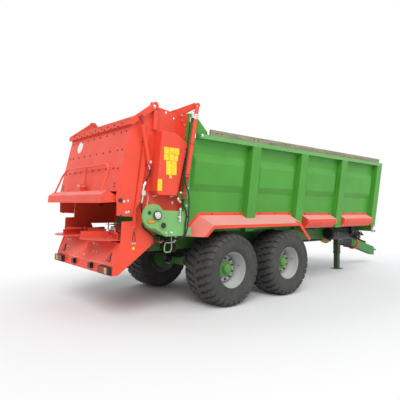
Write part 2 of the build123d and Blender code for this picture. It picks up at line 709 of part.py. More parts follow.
with BuildPart() as spreader_side_right:
    side_plate(
        (
            (SIDE_FRONT, FLOOR_TOP + 4),
            (SIDE_FRONT, 2962),
            (-1300, 3012),
            (-1340, 3068),
            (-1430, 3068),
            (-1458, 3000),
            (-1560, 2700),
            (-1640, 2200),
            (-1700, 1500),
            (-1700, 1290),
            (-1330, FLOOR_TOP + 4),
        ),
        SIDE_Y,
        SIDE_PLATE,
    )
    rib_inner = SIDE_Y + SIDE_PLATE
    side_plate(
        (
            (-1545, 2600),
            (-1480, 2600),
            (-1605, 1650),
            (-1674, 1560),
            (-1674, 1290),
            (-1697, 1290),
            (-1697, 1500),
            (-1675, 1640),
        ),
        rib_inner,
        42,
    )
    side_plate(((-1405, 2950), (-1335, 2950), (-1352, 2670), (-1422, 2670)), rib_inner, 50)
    # flange over the rear face of the portal post
    with BuildSketch(Plane.YZ.offset(ahead(SIDE_FRONT - 8))):
        Polygon(
            (-SIDE_Y, 1300),
            (-SIDE_Y, 2950),
            (-1172, 2953),
            (-1090, 2600),
            (-1060, 2200),
            (-1036, 1900),
            (-1036, 1300),
            align=None,
        )
    extrude(amount=8)
    # gate guide behind the edge of the gate
    block(
        (GATE_REAR - GATE_CLEARANCE - 7, GATE_REAR - GATE_CLEARANCE),
        (-SIDE_Y, -GATE_HALF_W + 25),
        (FLOOR_TOP + 4, GATE_TOP - 70),
    )
    for beater_z in (BEATER_LOW_Z, BEATER_HIGH_Z):
        rod_y(BEATER_X, beater_z, 75, (-rib_inner - 30, -rib_inner))
        rod_y(BEATER_X, beater_z, SHAFT_R + PIN_CLEARANCE, (-rib_inner - 31, -SIDE_Y + 1), mode=Mode.SUBTRACT)
    rod_y(*HOOD_PIVOT, 45, (-HOOD_INNER_Y - 2, -rib_inner))
    rod_y(*HOOD_PIVOT, HOOD_PIN_R, (-ARM_IN_Y - ARM_THICK - 8, -rib_inner))
    rod_y(*HOOD_CYL_LOW, 18, (-HOOD_CYL_Y + HOOD_CYL_EYE_W / 2 + 2, -rib_inner))
    rod_y(*HOOD_CYL_LOW, 12, (-HOOD_CYL_Y - HOOD_CYL_EYE_W / 2 - 6, -rib_inner))
finish(spreader_side_right, "spreader_side_right")
finish(mirrored(spreader_side_right), "spreader_side_left")

LOWER_Y = SIDE_Y - SIDE_PLATE
with BuildPart() as lower_side_plates:
    side_plate(
        (
            (-1868, 1373),
            (-1653, 1379),
            (-1600, 1330),
            (-1400, 1290),
            (-1333, 1110),
            (-1333, 1070),
            (-1911, 653),
            (-1998, 656),
            (-1992, 792),
            (-1880, 1101),
        ),
        LOWER_Y,
        SIDE_PLATE,
    )
    mirror(about=Plane.XZ)
finish(lower_side_plates, "lower_side_plates")

# Deck under the discs, with its bearers, gearboxes and the shafts that carry the discs
GEARBOX_R = 58.0
GEARBOX_BOTTOM = 905.0
RISER_X = CHASSIS_REAR - 14
DISC_SHAFT_R = 22.5
with BuildPart() as disc_deck:
    block((-1858, RISER_X), (-LOWER_Y, LOWER_Y), (DECK_Z, DECK_Z + 6))
    block((RISER_X - 5, RISER_X), (-500, 500), (DECK_Z, FLOOR_BOTTOM + 5))
    block((RISER_X, -942), (-900, 900), (FLOOR_BOTTOM, FLOOR_BOTTOM + 5))
    for side in (-1, 1):
        y = side * BEAM_Y
        block((-1790, CHASSIS_REAR), (y - 40, y + 40), (960, DECK_Z))
        with Locations((ahead(DISC_X), side * DISC_Y, GEARBOX_BOTTOM)):
            Cylinder(GEARBOX_R, DECK_Z - GEARBOX_BOTTOM, align=(Align.CENTER, Align.CENTER, Align.MIN))
            Cylinder(DISC_SHAFT_R, 330, align=(Align.CENTER, Align.CENTER, Align.MIN))
    rod_y(DISC_X, 985, 40, (-DISC_Y, DISC_Y))
    block((-1830, -1560), (-120, 120), (890, DECK_Z))
finish(disc_deck, "disc_deck")

PANEL_TOP_X = -1862.0
PANEL_BOTTOM_Z = 790.0
PANEL_BOTTOM_X = -1980.0
SCOOP_DEEP = 58.0
with BuildPart() as rear_panel:
    for side in (-1, 1):
        # each half goes from a deep scoop at the top to a nearly flat bottom edge
        for height, x, deep in (
            (DECK_Z - 1, ahead(PANEL_TOP_X), SCOOP_DEEP),
            (PANEL_BOTTOM_Z, ahead(PANEL_BOTTOM_X), 4.0),
        ):
            with BuildSketch(Plane.XY.offset(height)):
                with BuildLine():
                    edge = side * (LOWER_Y - 0.3)
                    shoulder = side * (LOWER_Y - 90)
                    middle = side * (LOWER_Y - 90) / 2
                    Line((x, edge), (x, shoulder))
                    ThreePointArc((x, shoulder), (x + deep, middle), (x, 0))
                    Line((x, 0), (x - 6, 0))
                    ThreePointArc((x - 6, 0), (x + deep - 6, middle), (x - 6, shoulder))
                    Line((x - 6, shoulder), (x - 6, edge))
                    Line((x - 6, edge), (x, edge))
                make_face()
        loft()
finish(rear_panel, "rear_panel")

BAR_X = -1986.0
with BuildPart() as light_bar:
    bar_half = LOWER_Y - 0.3
    block((BAR_X - 5, BAR_X), (-bar_half, bar_half), (650, PANEL_BOTTOM_Z - 1))
    block((BAR_X, BAR_X + 60), (-bar_half, bar_half), (652, 657))
    block((BAR_X - 18, BAR_X - 5), (-bar_half, bar_half), (650, 656))
finish(light_bar, "light_bar")

with BuildPart() as rear_lamps:
    for lamp_y, lamp_w, lamp_low, lamp_high, depth in (
        (-805, 290, 668, 768, 46),
        (805, 290, 668, 768, 46),
        (-355, 85, 690, 762, 50),
        (235, 85, 690, 762, 50),
    ):
        lamp_sides = (lamp_y - lamp_w / 2, lamp_y + lamp_w / 2)
        block((BAR_X - 5 - depth, BAR_X - 5), lamp_sides, (lamp_low, lamp_high))
finish(rear_lamps, "rear_lamps")

GUARD_OUTLINE = ((-1363, 2637), (-1138, 2645), (-914, 2504), (-1095, 1745), (-1406, 1745), (-1445, 1800))
GUARD_DEPTH = 190.0
with BuildPart() as chain_guard:
    side_plate(GUARD_OUTLINE, rib_inner, GUARD_DEPTH)
    with BuildSketch(Plane.XZ.offset(rib_inner - 1)):
        with BuildLine():
            Polyline([(ahead(x), z) for x, z in GUARD_OUTLINE], close=True)
        make_face()
        offset(amount=-SHEET, mode=Mode.REPLACE)
    extrude(amount=GUARD_DEPTH - SHEET + 1, mode=Mode.SUBTRACT)
finish(chain_guard, "chain_guard")

DRIVE_CENTRE = (-1500.0, 1450.0)
DRIVE_R = 168.0
DRIVE_OUT_Y = 1200.0
COVER_IN_Y = 1158.0
with BuildPart() as floor_drive_cover:
    side_plate(
        ((-1530, 1290), (-1530, 1500), (-985, 1500), (-985, 1170), (-1240, 1170)),
        rib_inner,
        COVER_IN_Y - rib_inner + 1,
    )
    with BuildSketch(Plane.XZ.offset(COVER_IN_Y)):
        with Locations((ahead(DRIVE_CENTRE[0]), DRIVE_CENTRE[1])):
            Circle(DRIVE_R)
        with BuildLine():
            Polyline(
                (ahead(DRIVE_CENTRE[0] - DRIVE_R + 6), 1405),
                (ahead(-1290), 1166),
                (ahead(-980), 1166),
                (ahead(-980), 1520),
                (ahead(-1352), 1530),
                close=True,
            )
        make_face()
    extrude(amount=DRIVE_OUT_Y - COVER_IN_Y)
    side_plate(
        (
            (-1250, 1205),
            (-1222, 1170),
            (-850, 1170),
            (-850, 1275),
            (-960, 1300),
            (-905, 1400),
            (-930, 1465),
            (-1040, 1465),
            (-1120, 1340),
            (-1250, 1235),
        ),
        DRIVE_OUT_Y,
        10,
    )
    rod_y(-1440, 1468, 52, (-DRIVE_OUT_Y - 22, -DRIVE_OUT_Y))
    rod_y(-1341, 1329, 36, (-DRIVE_OUT_Y - 14, -DRIVE_OUT_Y))
finish(floor_drive_cover, "floor_drive_cover")

with BuildPart() as conveyor_shaft:
    rod_y(SHAFT_X, SHAFT_Z, 30, (-rib_inner, 930))
    for side in (-1, 1):
        rod_y(SHAFT_X, SHAFT_Z, SPROCKET_R, (side * CHAIN_Y - 20, side * CHAIN_Y + 20))
finish(conveyor_shaft, "conveyor_shaft")

# ------------------------------------------------------------------------ hood and flap
PANEL_TOP = (-1745.0, 2722.0)
PANEL_LOW = (-1958.0, 1780.0)
FLAP_HALF_W = 965.0
FLAP_PIN_R = 12.5
ARM_END = (-1765.0, 2735.0)
ARM_HALF_H = 42.0

with BuildPart() as hood:
    side_plate(
        (
            PANEL_TOP,
            (-1480, 2949),
            (-1500, 2700),
            (-1565, 2610),
            (-1612, 2250),
            (-1712, 1440),
            (-1957, 1455),
            (-1957, 1600),
            (-1975, 1700),
            PANEL_LOW,
        ),
        HOOD_INNER_Y,
        HOOD_SHEET,
    )
    run = hypot(ARM_END[0] - HOOD_PIVOT[0], ARM_END[1] - HOOD_PIVOT[1])
    across = (
        (HOOD_PIVOT[1] - ARM_END[1]) / run * ARM_HALF_H,
        (ARM_END[0] - HOOD_PIVOT[0]) / run * ARM_HALF_H,
    )
    side_plate(
        (
            (HOOD_PIVOT[0] + across[0], HOOD_PIVOT[1] + across[1]),
            (ARM_END[0] + across[0], ARM_END[1] + across[1]),
            (ARM_END[0] - across[0], ARM_END[1] - across[1]),
            (HOOD_PIVOT[0] - across[0], HOOD_PIVOT[1] - across[1]),
        ),
        ARM_IN_Y,
        ARM_THICK,
    )
    rod_y(*HOOD_PIVOT, ARM_HALF_H + 6, (-ARM_IN_Y - ARM_THICK, -ARM_IN_Y))
    rod_y(*HOOD_CYL_HIGH, 30, (-ARM_IN_Y - ARM_THICK - 4, -ARM_IN_Y))
    rod_y(
        *HOOD_PIVOT,
        HOOD_PIN_R + PIN_CLEARANCE,
        (-ARM_IN_Y - ARM_THICK - 1, -ARM_IN_Y + 1),
        mode=Mode.SUBTRACT,
    )
    rod_y(*FLAP_PIVOT, FLAP_PIN_R + PIN_CLEARANCE, (-ARM_IN_Y - 1, -HOOD_INNER_Y + 1), mode=Mode.SUBTRACT)
    mirror(about=Plane.XZ)
    # back panel, cross bar and top bar, right across
    side_plate(
        (
            PANEL_TOP,
            PANEL_LOW,
            (PANEL_LOW[0] - HOOD_SHEET, PANEL_LOW[1] + 1),
            (PANEL_TOP[0] - HOOD_SHEET, PANEL_TOP[1] + 1),
        ),
        -ARM_IN_Y,
        2 * ARM_IN_Y,
    )
    block((-1692, -1640), (-ARM_IN_Y - 1, ARM_IN_Y + 1), (2760, 2835))
    block((-1800, PANEL_TOP[0] + 4), (-ARM_IN_Y - ARM_THICK, ARM_IN_Y + ARM_THICK), (2695, 2750))
finish(hood, "hood")

FLAP_OUTER = ((-1872.0, 1692.0), (-2088.0, 1792.0), (-2168.0, 1735.0), (-2180.0, 1622.0))
with BuildPart() as flap:
    side_plate(FLAP_OUTER + ((-1893, 1642), (-1872, 1655)), FLAP_HALF_W - SHEET, SHEET)
    rod_y(*FLAP_PIVOT, FLAP_PIN_R, (-ARM_IN_Y - 10, -FLAP_HALF_W + SHEET))
    mirror(about=Plane.XZ)
    (hx, hz), (cx, cz), (dx, dz), (ex, ez) = FLAP_OUTER
    side_plate(
        (
            (hx, hz),
            (cx, cz),
            (dx, dz),
            (ex, ez),
            (ex + SHEET, ez),
            (dx + SHEET, dz - 2),
            (cx + 1, cz - SHEET - 1),
            (hx, hz - SHEET - 1),
        ),
        -FLAP_HALF_W + SHEET / 2,
        2 * FLAP_HALF_W - SHEET,
    )
    # tubular guard above the flap
    foot = (-2108.0, 1770.0)
    head = (-1950.0, 2165.0)
    rise = hypot(head[0] - foot[0], head[1] - foot[1])
    guard = Plane(
        origin=(ahead(foot[0]), 0, foot[1]),
        x_dir=(0, 1, 0),
        z_dir=Vector(0, 1, 0).cross(Vector(head[0] - foot[0], 0, head[1] - foot[1])),
    )
    with BuildLine(guard) as guard_line:
        FilletPolyline((-850, 0), (-800, rise), (800, rise), (850, 0), radius=180)
    with BuildSketch(Plane(origin=guard_line.line @ 0, z_dir=guard_line.line % 0)):
        Circle(14)
    sweep()
    side_plate(((-1987, 1800), (-1965, 1800), (-1940, 2160), (-1962, 2160)), -12, 24)
    block((-2085, -1990), (-95, 95), (1780, 1835))
    block((-1992, -1968), (-30, 30), (1800, 1835))
finish(flap, "flap")

hood_eye_axis = Vector(HOOD_CYL_HIGH[0] - HOOD_CYL_LOW[0], 0, HOOD_CYL_HIGH[1] - HOOD_CYL_LOW[1])
HOOD_CYL_L = hood_eye_axis.length
hood_stroke = Plane(
    origin=(ahead(HOOD_CYL_LOW[0]), -HOOD_CYL_Y, HOOD_CYL_LOW[1]), x_dir=(0, 1, 0), z_dir=hood_eye_axis
)
HOOD_ROD_R = 15.0
HOOD_BORE_R = 22.0
HOOD_BARREL_L = HOOD_CYL_L - 110
half_eye = HOOD_CYL_EYE_W / 2
with BuildPart() as hood_barrel_right:
    rod_y(*HOOD_CYL_LOW, 26, (-HOOD_CYL_Y - half_eye, -HOOD_CYL_Y + half_eye))
    with BuildSketch(hood_stroke.offset(23)):
        Circle(HOOD_CYL_R)
    extrude(amount=HOOD_BARREL_L - 23)
    with BuildSketch(hood_stroke.offset(40)):
        Circle(HOOD_BORE_R)
    extrude(amount=HOOD_BARREL_L - 60, mode=Mode.SUBTRACT)
    with BuildSketch(hood_stroke.offset(HOOD_BARREL_L - 25)):
        Circle(HOOD_ROD_R + ROD_CLEARANCE)
    extrude(amount=30, mode=Mode.SUBTRACT)
    rod_y(
        *HOOD_CYL_LOW,
        12 + PIN_CLEARANCE,
        (-HOOD_CYL_Y - half_eye - 1, -HOOD_CYL_Y + half_eye + 1),
        mode=Mode.SUBTRACT,
    )
finish(hood_barrel_right, "hood_barrel_right")
finish(mirrored(hood_barrel_right), "hood_barrel_left")

with BuildPart() as hood_rod_right:
    with BuildSketch(hood_stroke.offset(50)):
        Circle(HOOD_BORE_R - ROD_CLEARANCE)
    extrude(amount=35)
    with BuildSketch(hood_stroke.offset(50)):
        Circle(HOOD_ROD_R)
    extrude(amount=HOOD_CYL_L - 70)
    rod_y(*HOOD_CYL_HIGH, 30, (-HOOD_CYL_Y - half_eye, -HOOD_CYL_Y + half_eye))
finish(hood_rod_right, "hood_rod_right")
finish(mirrored(hood_rod_right), "hood_rod_left")

# -------------------------------------------------------------------- beaters and discs
BLADE_STATIONS = 14
BLADE_TURN = 75.0
for beater_name, beater_z, hand in (("lower_beater", BEATER_LOW_Z, 1), ("upper_beater", BEATER_HIGH_Z, -1)):
    with BuildPart() as beater:
        rod_y(BEATER_X, beater_z, BEATER_CORE_R, (-BEATER_HALF_L, BEATER_HALF_L))
        rod_y(BEATER_X, beater_z, SHAFT_R, (-SIDE_Y - 24, SIDE_Y + 24))
        spacing = 2 * (BEATER_HALF_L - 60) / (BLADE_STATIONS - 1)
        for station in range(BLADE_STATIONS):
            y = -BEATER_HALF_L + 60 + station * spacing
            turn = hand * station * BLADE_TURN
            with BuildSketch(Plane(origin=(ahead(BEATER_X), y, beater_z), x_dir=(1, 0, 0), z_dir=(0, -1, 0))):
                for start in (turn, turn + 180):
                    with BuildLine():
                        rim_arc = CenterArc((0, 0), BEATER_R - 45, start, 95)
                        root_arc = CenterArc((0, 0), BEATER_CORE_R - 10, start, 95)
                        Line(rim_arc @ 0, root_arc @ 0)
                        Line(rim_arc @ 1, root_arc @ 1)
                    make_face()
                    with PolarLocations(BEATER_R - 45, 2, start_angle=start + 20, angular_range=110):
                        Rectangle(90, 55)
            extrude(amount=5, both=True)
    finish(beater, beater_name)

VANE_H = 92.0
for disc_name, side in (("spreading_disc_right", -1), ("spreading_disc_left", 1)):
    with BuildPart() as disc:
        with Locations((ahead(DISC_X), side * DISC_Y, DISC_Z)):
            Cylinder(DISC_R, DISC_THICK, align=(Align.CENTER, Align.CENTER, Align.MIN))
            Cylinder(70, 55, align=(Align.CENTER, Align.CENTER, Align.MIN))
            with PolarLocations(0, 4, start_angle=20 * side):
                with Locations((DISC_R - 215, 0, DISC_THICK)):
                    Box(400, 8, VANE_H, align=(Align.CENTER, Align.CENTER, Align.MIN))
                with Locations((DISC_R - 215, side * 20, DISC_THICK + VANE_H - 8)):
                    Box(400, 48, 8, align=(Align.CENTER, Align.CENTER, Align.MIN))
        with Locations((ahead(DISC_X), side * DISC_Y, DISC_Z)):
            Cylinder(
                DISC_SHAFT_R + PIN_CLEARANCE,
                400,
                align=(Align.CENTER, Align.CENTER, Align.CENTER),
                mode=Mode.SUBTRACT,
            )
    finish(disc, disc_name)

# ------------------------------------------------------------------- drawbar and its gear
BAR_REAR_X = BOX_FRONT + 50
PLATE_X = 6920.0
BAR_TOP_Z = (993.0, 478.0)
BAR_LOW_Z = (745.0, 240.0)
with BuildPart() as drawbar:
    side_plate(
        (
            (BAR_REAR_X, BAR_TOP_Z[0]),
            (PLATE_X, BAR_TOP_Z[1]),
            (PLATE_X, BAR_LOW_Z[1]),
            (BAR_REAR_X, BAR_LOW_Z[0]),
        ),
        -DRAWBAR_W / 2,
        DRAWBAR_W,
    )
    for side in (-1, 1):
        inner, outer = side * DRAWBAR_W / 2, side * BEAM_INSIDE
        with BuildSketch(Plane.XY.offset(BEAM_BOTTOM + 20)):
            with BuildLine():
                Polyline(
                    (ahead(BAR_REAR_X), inner),
                    (ahead(BAR_REAR_X + 560), inner),
                    (ahead(BAR_REAR_X), outer),
                    close=True,
                )
            make_face()
        extrude(amount=14)
    sleeve = JACK_TUBE / 2 + 0.3
    block((JACK_X - sleeve, JACK_X + sleeve), (-sleeve, sleeve), (0, BEAM_BOTTOM), mode=Mode.SUBTRACT)
finish(drawbar, "drawbar")

with BuildPart() as towing_eye:
    block((PLATE_X, PLATE_X + 20), (-DRAWBAR_W / 2, DRAWBAR_W / 2), (BAR_LOW_Z[1] + 5, BAR_TOP_Z[1] - 5))
    block((PLATE_X + 20, EYE_X - 40), (-32, 32), (EYE_Z - EYE_THICK / 2, EYE_Z + EYE_THICK / 2))
    with Locations((ahead(EYE_X), 0, EYE_Z)):
        Cylinder(EYE_D / 2, EYE_THICK)
        Cylinder(EYE_BORE_D / 2, EYE_THICK + 2, mode=Mode.SUBTRACT)
finish(towing_eye, "towing_eye")

JACK_LOW = 400.0
JACK_HIGH = BEAM_BOTTOM - 0.3
LEG_TOP = 560.0
LEG = JACK_TUBE - 2 * JACK_WALL - 2 * JACK_GAP
with BuildPart() as jack_sleeve:
    tube = JACK_TUBE / 2
    block((JACK_X - tube, JACK_X + tube), (-tube, tube), (JACK_LOW, JACK_HIGH))
    tube -= JACK_WALL
    block((JACK_X - tube, JACK_X + tube), (-tube, tube), (JACK_LOW - 1, JACK_HIGH - 10), mode=Mode.SUBTRACT)
finish(jack_sleeve, "jack_sleeve")

with BuildPart() as jack_leg:
    for width, low, high in ((LEG, JACK_FOOT_THICK, LEG_TOP), (JACK_FOOT, 0, JACK_FOOT_THICK)):
        block((JACK_X - width / 2, JACK_X + width / 2), (-width / 2, width / 2), (low, high))
finish(jack_leg, "jack_leg")

RING_X = 5820.0
RING_TUBE_R = 25.0
share = (RING_X - BAR_REAR_X) / (PLATE_X - BAR_REAR_X)
ring_top = BAR_TOP_Z[0] + share * (BAR_TOP_Z[1] - BAR_TOP_Z[0])
ring_low = BAR_LOW_Z[0] + share * (BAR_LOW_Z[1] - BAR_LOW_Z[0])
RING_R = hypot(DRAWBAR_W / 2, (ring_top - ring_low) / 2) + RING_TUBE_R + 0.9
with BuildPart() as drawbar_ring:
    with Locations(Location((ahead(RING_X), 0, (ring_top + ring_low) / 2), (0, 90, 0))):
        Torus(RING_R, RING_TUBE_R)
finish(drawbar_ring, "drawbar_ring")

TANK_R = 140.0
TANK_Y = -650.0
TANK_Z = 1000.0
with BuildPart() as air_tank:
    with Locations(Location((ahead(3600), TANK_Y, TANK_Z), (0, 90, 0))):
        Cylinder(TANK_R, 1000, align=(Align.CENTER, Align.CENTER, Align.MIN))
    fillet(air_tank.edges().filter_by(GeomType.CIRCLE), radius=50)
    for strap_x in (3800, 4400):
        block((strap_x - 20, strap_x + 20), (TANK_Y, -BEAM_Y - BEAM_W / 2), (930, 1070))
finish(air_tank, "air_tank")

PTO_Y = 200.0
PTO_Z = 770.0
PTO_SHAFT_R = 17.45
PTO_JOURNAL_R = 25.0
BEARING_X = (4930.0, 4990.0)
with BuildPart() as pto_shaft:
    for radius, start, stop in (
        (28, RISER_X - 60, 4800),
        (105, 4800, 4870),
        (PTO_JOURNAL_R, 4870, BEARING_X[1] + 10),
        (PTO_SHAFT_R, BEARING_X[1] + 10, 5080),
    ):
        with Locations(Location((ahead(start), PTO_Y, PTO_Z), (0, 90, 0))):
            Cylinder(radius, stop - start, align=(Align.CENTER, Align.CENTER, Align.MIN))
finish(pto_shaft, "pto_shaft")

with BuildPart() as main_gearbox:
    block((RISER_X - 260, RISER_X - 60), (-130, PTO_Y + 80), (PTO_Z - 110, DECK_Z - 60))
    block((RISER_X - 200, RISER_X - 120), (-410, 410), (970, 1040))
    block((RISER_X - 396, RISER_X - 260), (-60, 60), (920, 1040))
finish(main_gearbox, "main_gearbox")

with BuildPart() as shaft_bearing:
    block(BEARING_X, (PTO_Y - 70, PTO_Y + 70), (PTO_Z - 65, BEAM_BOTTOM))
    with Locations(Location((ahead(BEARING_X[0] - 5), PTO_Y, PTO_Z), (0, 90, 0))):
        Cylinder(
            PTO_JOURNAL_R + PIN_CLEARANCE,
            90,
            align=(Align.CENTER, Align.CENTER, Align.MIN),
            mode=Mode.SUBTRACT,
        )
finish(shaft_bearing, "shaft_bearing")
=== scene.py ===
import json
import math
import bmesh
import bpy
from mathutils import Matrix, Vector


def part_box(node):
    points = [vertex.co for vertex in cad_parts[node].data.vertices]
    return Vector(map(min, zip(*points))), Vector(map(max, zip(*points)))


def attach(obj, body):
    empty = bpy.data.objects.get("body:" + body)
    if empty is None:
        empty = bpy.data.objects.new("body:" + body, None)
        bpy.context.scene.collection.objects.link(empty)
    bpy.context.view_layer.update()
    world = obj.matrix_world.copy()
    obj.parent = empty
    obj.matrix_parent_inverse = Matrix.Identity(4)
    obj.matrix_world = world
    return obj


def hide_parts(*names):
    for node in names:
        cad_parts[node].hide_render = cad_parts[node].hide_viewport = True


# Manure spreader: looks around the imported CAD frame.  Metres, +X forward, +Y left, +Z up.
# Side positions are written as (distance ahead of the rear axle, height).
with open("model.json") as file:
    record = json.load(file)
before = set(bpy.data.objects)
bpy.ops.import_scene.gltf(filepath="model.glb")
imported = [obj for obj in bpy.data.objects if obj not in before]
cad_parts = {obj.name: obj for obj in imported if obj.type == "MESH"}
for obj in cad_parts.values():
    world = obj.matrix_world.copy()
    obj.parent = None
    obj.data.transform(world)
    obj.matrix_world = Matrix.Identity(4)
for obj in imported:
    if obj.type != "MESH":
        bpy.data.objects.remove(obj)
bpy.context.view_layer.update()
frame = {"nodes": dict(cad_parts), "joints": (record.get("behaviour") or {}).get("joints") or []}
NODES = frame["nodes"]
JOINTS = {joint["name"]: joint for joint in frame["joints"]}

# ------------------------------------------------------------------ dimensions
REAR_AXLE_X = JOINTS["rear_right_wheel_spin"]["pos_m"][0]
POST_CENTRES = (0.564, 1.923, 3.346, 4.89)
SIDE_Y = 0.98
RIB_Y = 0.986
GUARD_Y = 1.176
TYRE_HALF_W = 0.3
RIM_HALF_W = 0.262
STUD_PCR, DISC_HOLE_R, HUB_BOLT_R = 0.1675, 0.203, 0.066
STUDS = 10
TYRE_STEPS = 136
HOSE_Y = 1.2644
JACK_X = 5.054
SHAFT_Y, SHAFT_Z = 0.2, 0.77
HOSE_SLOPE = -0.2697


def ahead(x):
    """X in the frame of a distance ahead of the rear axle."""
    return REAR_AXLE_X + x


def at(x, y, z):
    return Vector((ahead(x), y, z))


def path(*points):
    return [at(*point) for point in points]


def spoke(turn, radius=1.0, y=0.0):
    """A vector from a wheel's axis at an angle in the side view."""
    return Vector((radius * math.cos(turn), y, radius * math.sin(turn)))


# ------------------------------------------------------------------ mesh building
class Form:
    """Collects the corners and faces of one mesh piece."""

    def __init__(self):
        self.corners = []
        self.faces = []

    def add(self, corners, faces):
        start = len(self.corners)
        self.corners += [Vector(corner) for corner in corners]
        self.faces += [[start + index for index in face] for face in faces]
        return self

    def box(self, low, high, placed=None):
        """A box between two corners, moved by a matrix if one is given."""
        corners = [
            Vector((x, y, z)) for x in (low[0], high[0]) for y in (low[1], high[1]) for z in (low[2], high[2])
        ]
        if placed:
            corners = [placed @ corner for corner in corners]
        faces = [(0, 1, 3, 2), (4, 6, 7, 5), (0, 4, 5, 1), (2, 3, 7, 6), (0, 2, 6, 4), (1, 5, 7, 3)]
        return self.add(corners, faces)

    def prism(self, outline, run):
        """A flat outline of points pushed along a vector."""
        count = len(outline)
        base = [Vector(point) for point in outline]
        corners = base + [point + Vector(run) for point in base]
        faces = [tuple(range(count))[::-1], tuple(range(count, 2 * count))]
        faces += [(i, (i + 1) % count, count + (i + 1) % count, count + i) for i in range(count)]
        return self.add(corners, faces)

    def rings(self, rings, closed_ends=True, loop=False):
        """Skins equal rings of points one after another."""
        count = len(rings[0])
        corners = [point for ring in rings for point in ring]
        spans = len(rings) if loop else len(rings) - 1
        faces = []
        for step in range(spans):
            a, b = step * count, ((step + 1) % len(rings)) * count
            faces += [(a + i, a + (i + 1) % count, b + (i + 1) % count, b + i) for i in range(count)]
        if closed_ends and not loop:
            faces += [tuple(range(count))[::-1], tuple(range(len(corners) - count, len(corners)))]
        return self.add(corners, faces)

    def turned(self, start, axis, profile, sides=24):
        """A solid of revolution: profile rows are (distance along the axis, radius)."""
        axis = Vector(axis).normalized()
        first, second = cross_axes(axis)
        rings = []
        for along, radius in profile:
            centre = Vector(start) + axis * along
            rings.append([centre + first * (radius * c) + second * (radius * s) for c, s in circle(sides)])
        return self.rings(rings)

    def rod(self, start, end, radius, sides=16):
        length = (Vector(end) - Vector(start)).length
        return self.turned(start, Vector(end) - Vector(start), ((0, radius), (length, radius)), sides)

    def tube(self, points, radius, sides=10, step=5):
        """A round tube on a smooth line through the points."""
        line = smooth_line(points, step)
        rings = []
        normal = None
        for index, point in enumerate(line):
            ahead_point = line[min(index + 1, len(line) - 1)]
            behind_point = line[max(index - 1, 0)]
            tangent = (ahead_point - behind_point).normalized()
            if normal is None:
                normal, _ = cross_axes(tangent)
            normal = (normal - tangent * normal.dot(tangent)).normalized()
            other = tangent.cross(normal)
            rings.append([point + normal * (radius * c) + other * (radius * s) for c, s in circle(sides)])
        return self.rings(rings)

    def bolt(self, place, normal, size=0.012, washer=True, sides=6):
        """A hex head on a washer, its seat at the place; size is the head's radius."""
        rows = ()
        if washer:
            rows = ((0, size * 1.45), (size * 0.22, size * 1.45), (size * 0.22, size * 1.4))
            self.turned(place, normal, rows, 14)
        lift = size * 0.2 if washer else 0
        return self.turned(
            Vector(place) + Vector(normal).normalized() * lift,
            normal,
            ((0, size), (size * 0.7, size), (size * 0.82, size * 0.8)),
            sides,
        )


def cross_axes(axis):
    """Two unit vectors square to an axis and to each other."""
    helper = Vector((0, 0, 1)) if abs(axis.z) < 0.9 else Vector((1, 0, 0))
    first = helper.cross(axis).normalized()
    return first, axis.cross(first)


def circle(sides):
    return [(math.cos(math.tau * i / sides), math.sin(math.tau * i / sides)) for i in range(sides)]


def smooth_line(points, step):
    """Points of a Catmull-Rom line through the given ones."""
    points = [Vector(point) for point in points]
    if step <= 1 or len(points) < 3:
        return points
    ends = [points[0] * 2 - points[1]] + points + [points[-1] * 2 - points[-2]]
    line = []
    for i in range(1, len(ends) - 2):
        a, b, c, d = ends[i - 1 : i + 3]
        for k in range(step):
            t = k / step
            line.append(
                0.5
                * (
                    2 * b
                    + (c - a) * t
                    + (2 * a - 5 * b + 4 * c - d) * t * t
                    + (3 * b - a - 3 * c + d) * t ** 3
                )
            )
    return line + [points[-1]]


def piece(form, name, finish, body="spreader", bevel=0.0, smooth=35.0, replaces=()):
    """Makes the form an object that rides a body, in the material of its finish."""
    mesh = bpy.data.meshes.new(name)
    mesh.from_pydata(form.corners, [], form.faces)
    mesh.validate()
    clean(mesh)
    mesh.polygons.foreach_set("use_smooth", [smooth > 0] * len(mesh.polygons))
    if smooth > 0:
        mesh.set_sharp_from_angle(angle=math.radians(smooth))
    thing = bpy.data.objects.new(name, mesh)
    bpy.context.scene.collection.objects.link(thing)
    mesh.materials.append(M[finish])
    if bevel:
        edge = thing.modifiers.new("edges", "BEVEL")
        edge.width = bevel
        edge.segments = 2
        edge.limit_method = "ANGLE"
        edge.angle_limit = math.radians(40)
        edge.harden_normals = True
    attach(thing, body)
    if replaces:
        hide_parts(*replaces)
    return thing


def clean(mesh):
    """Points every face outwards."""
    work = bmesh.new()
    work.from_mesh(mesh)
    bmesh.ops.recalc_face_normals(work, faces=work.faces)
    work.to_mesh(mesh)
    work.free()


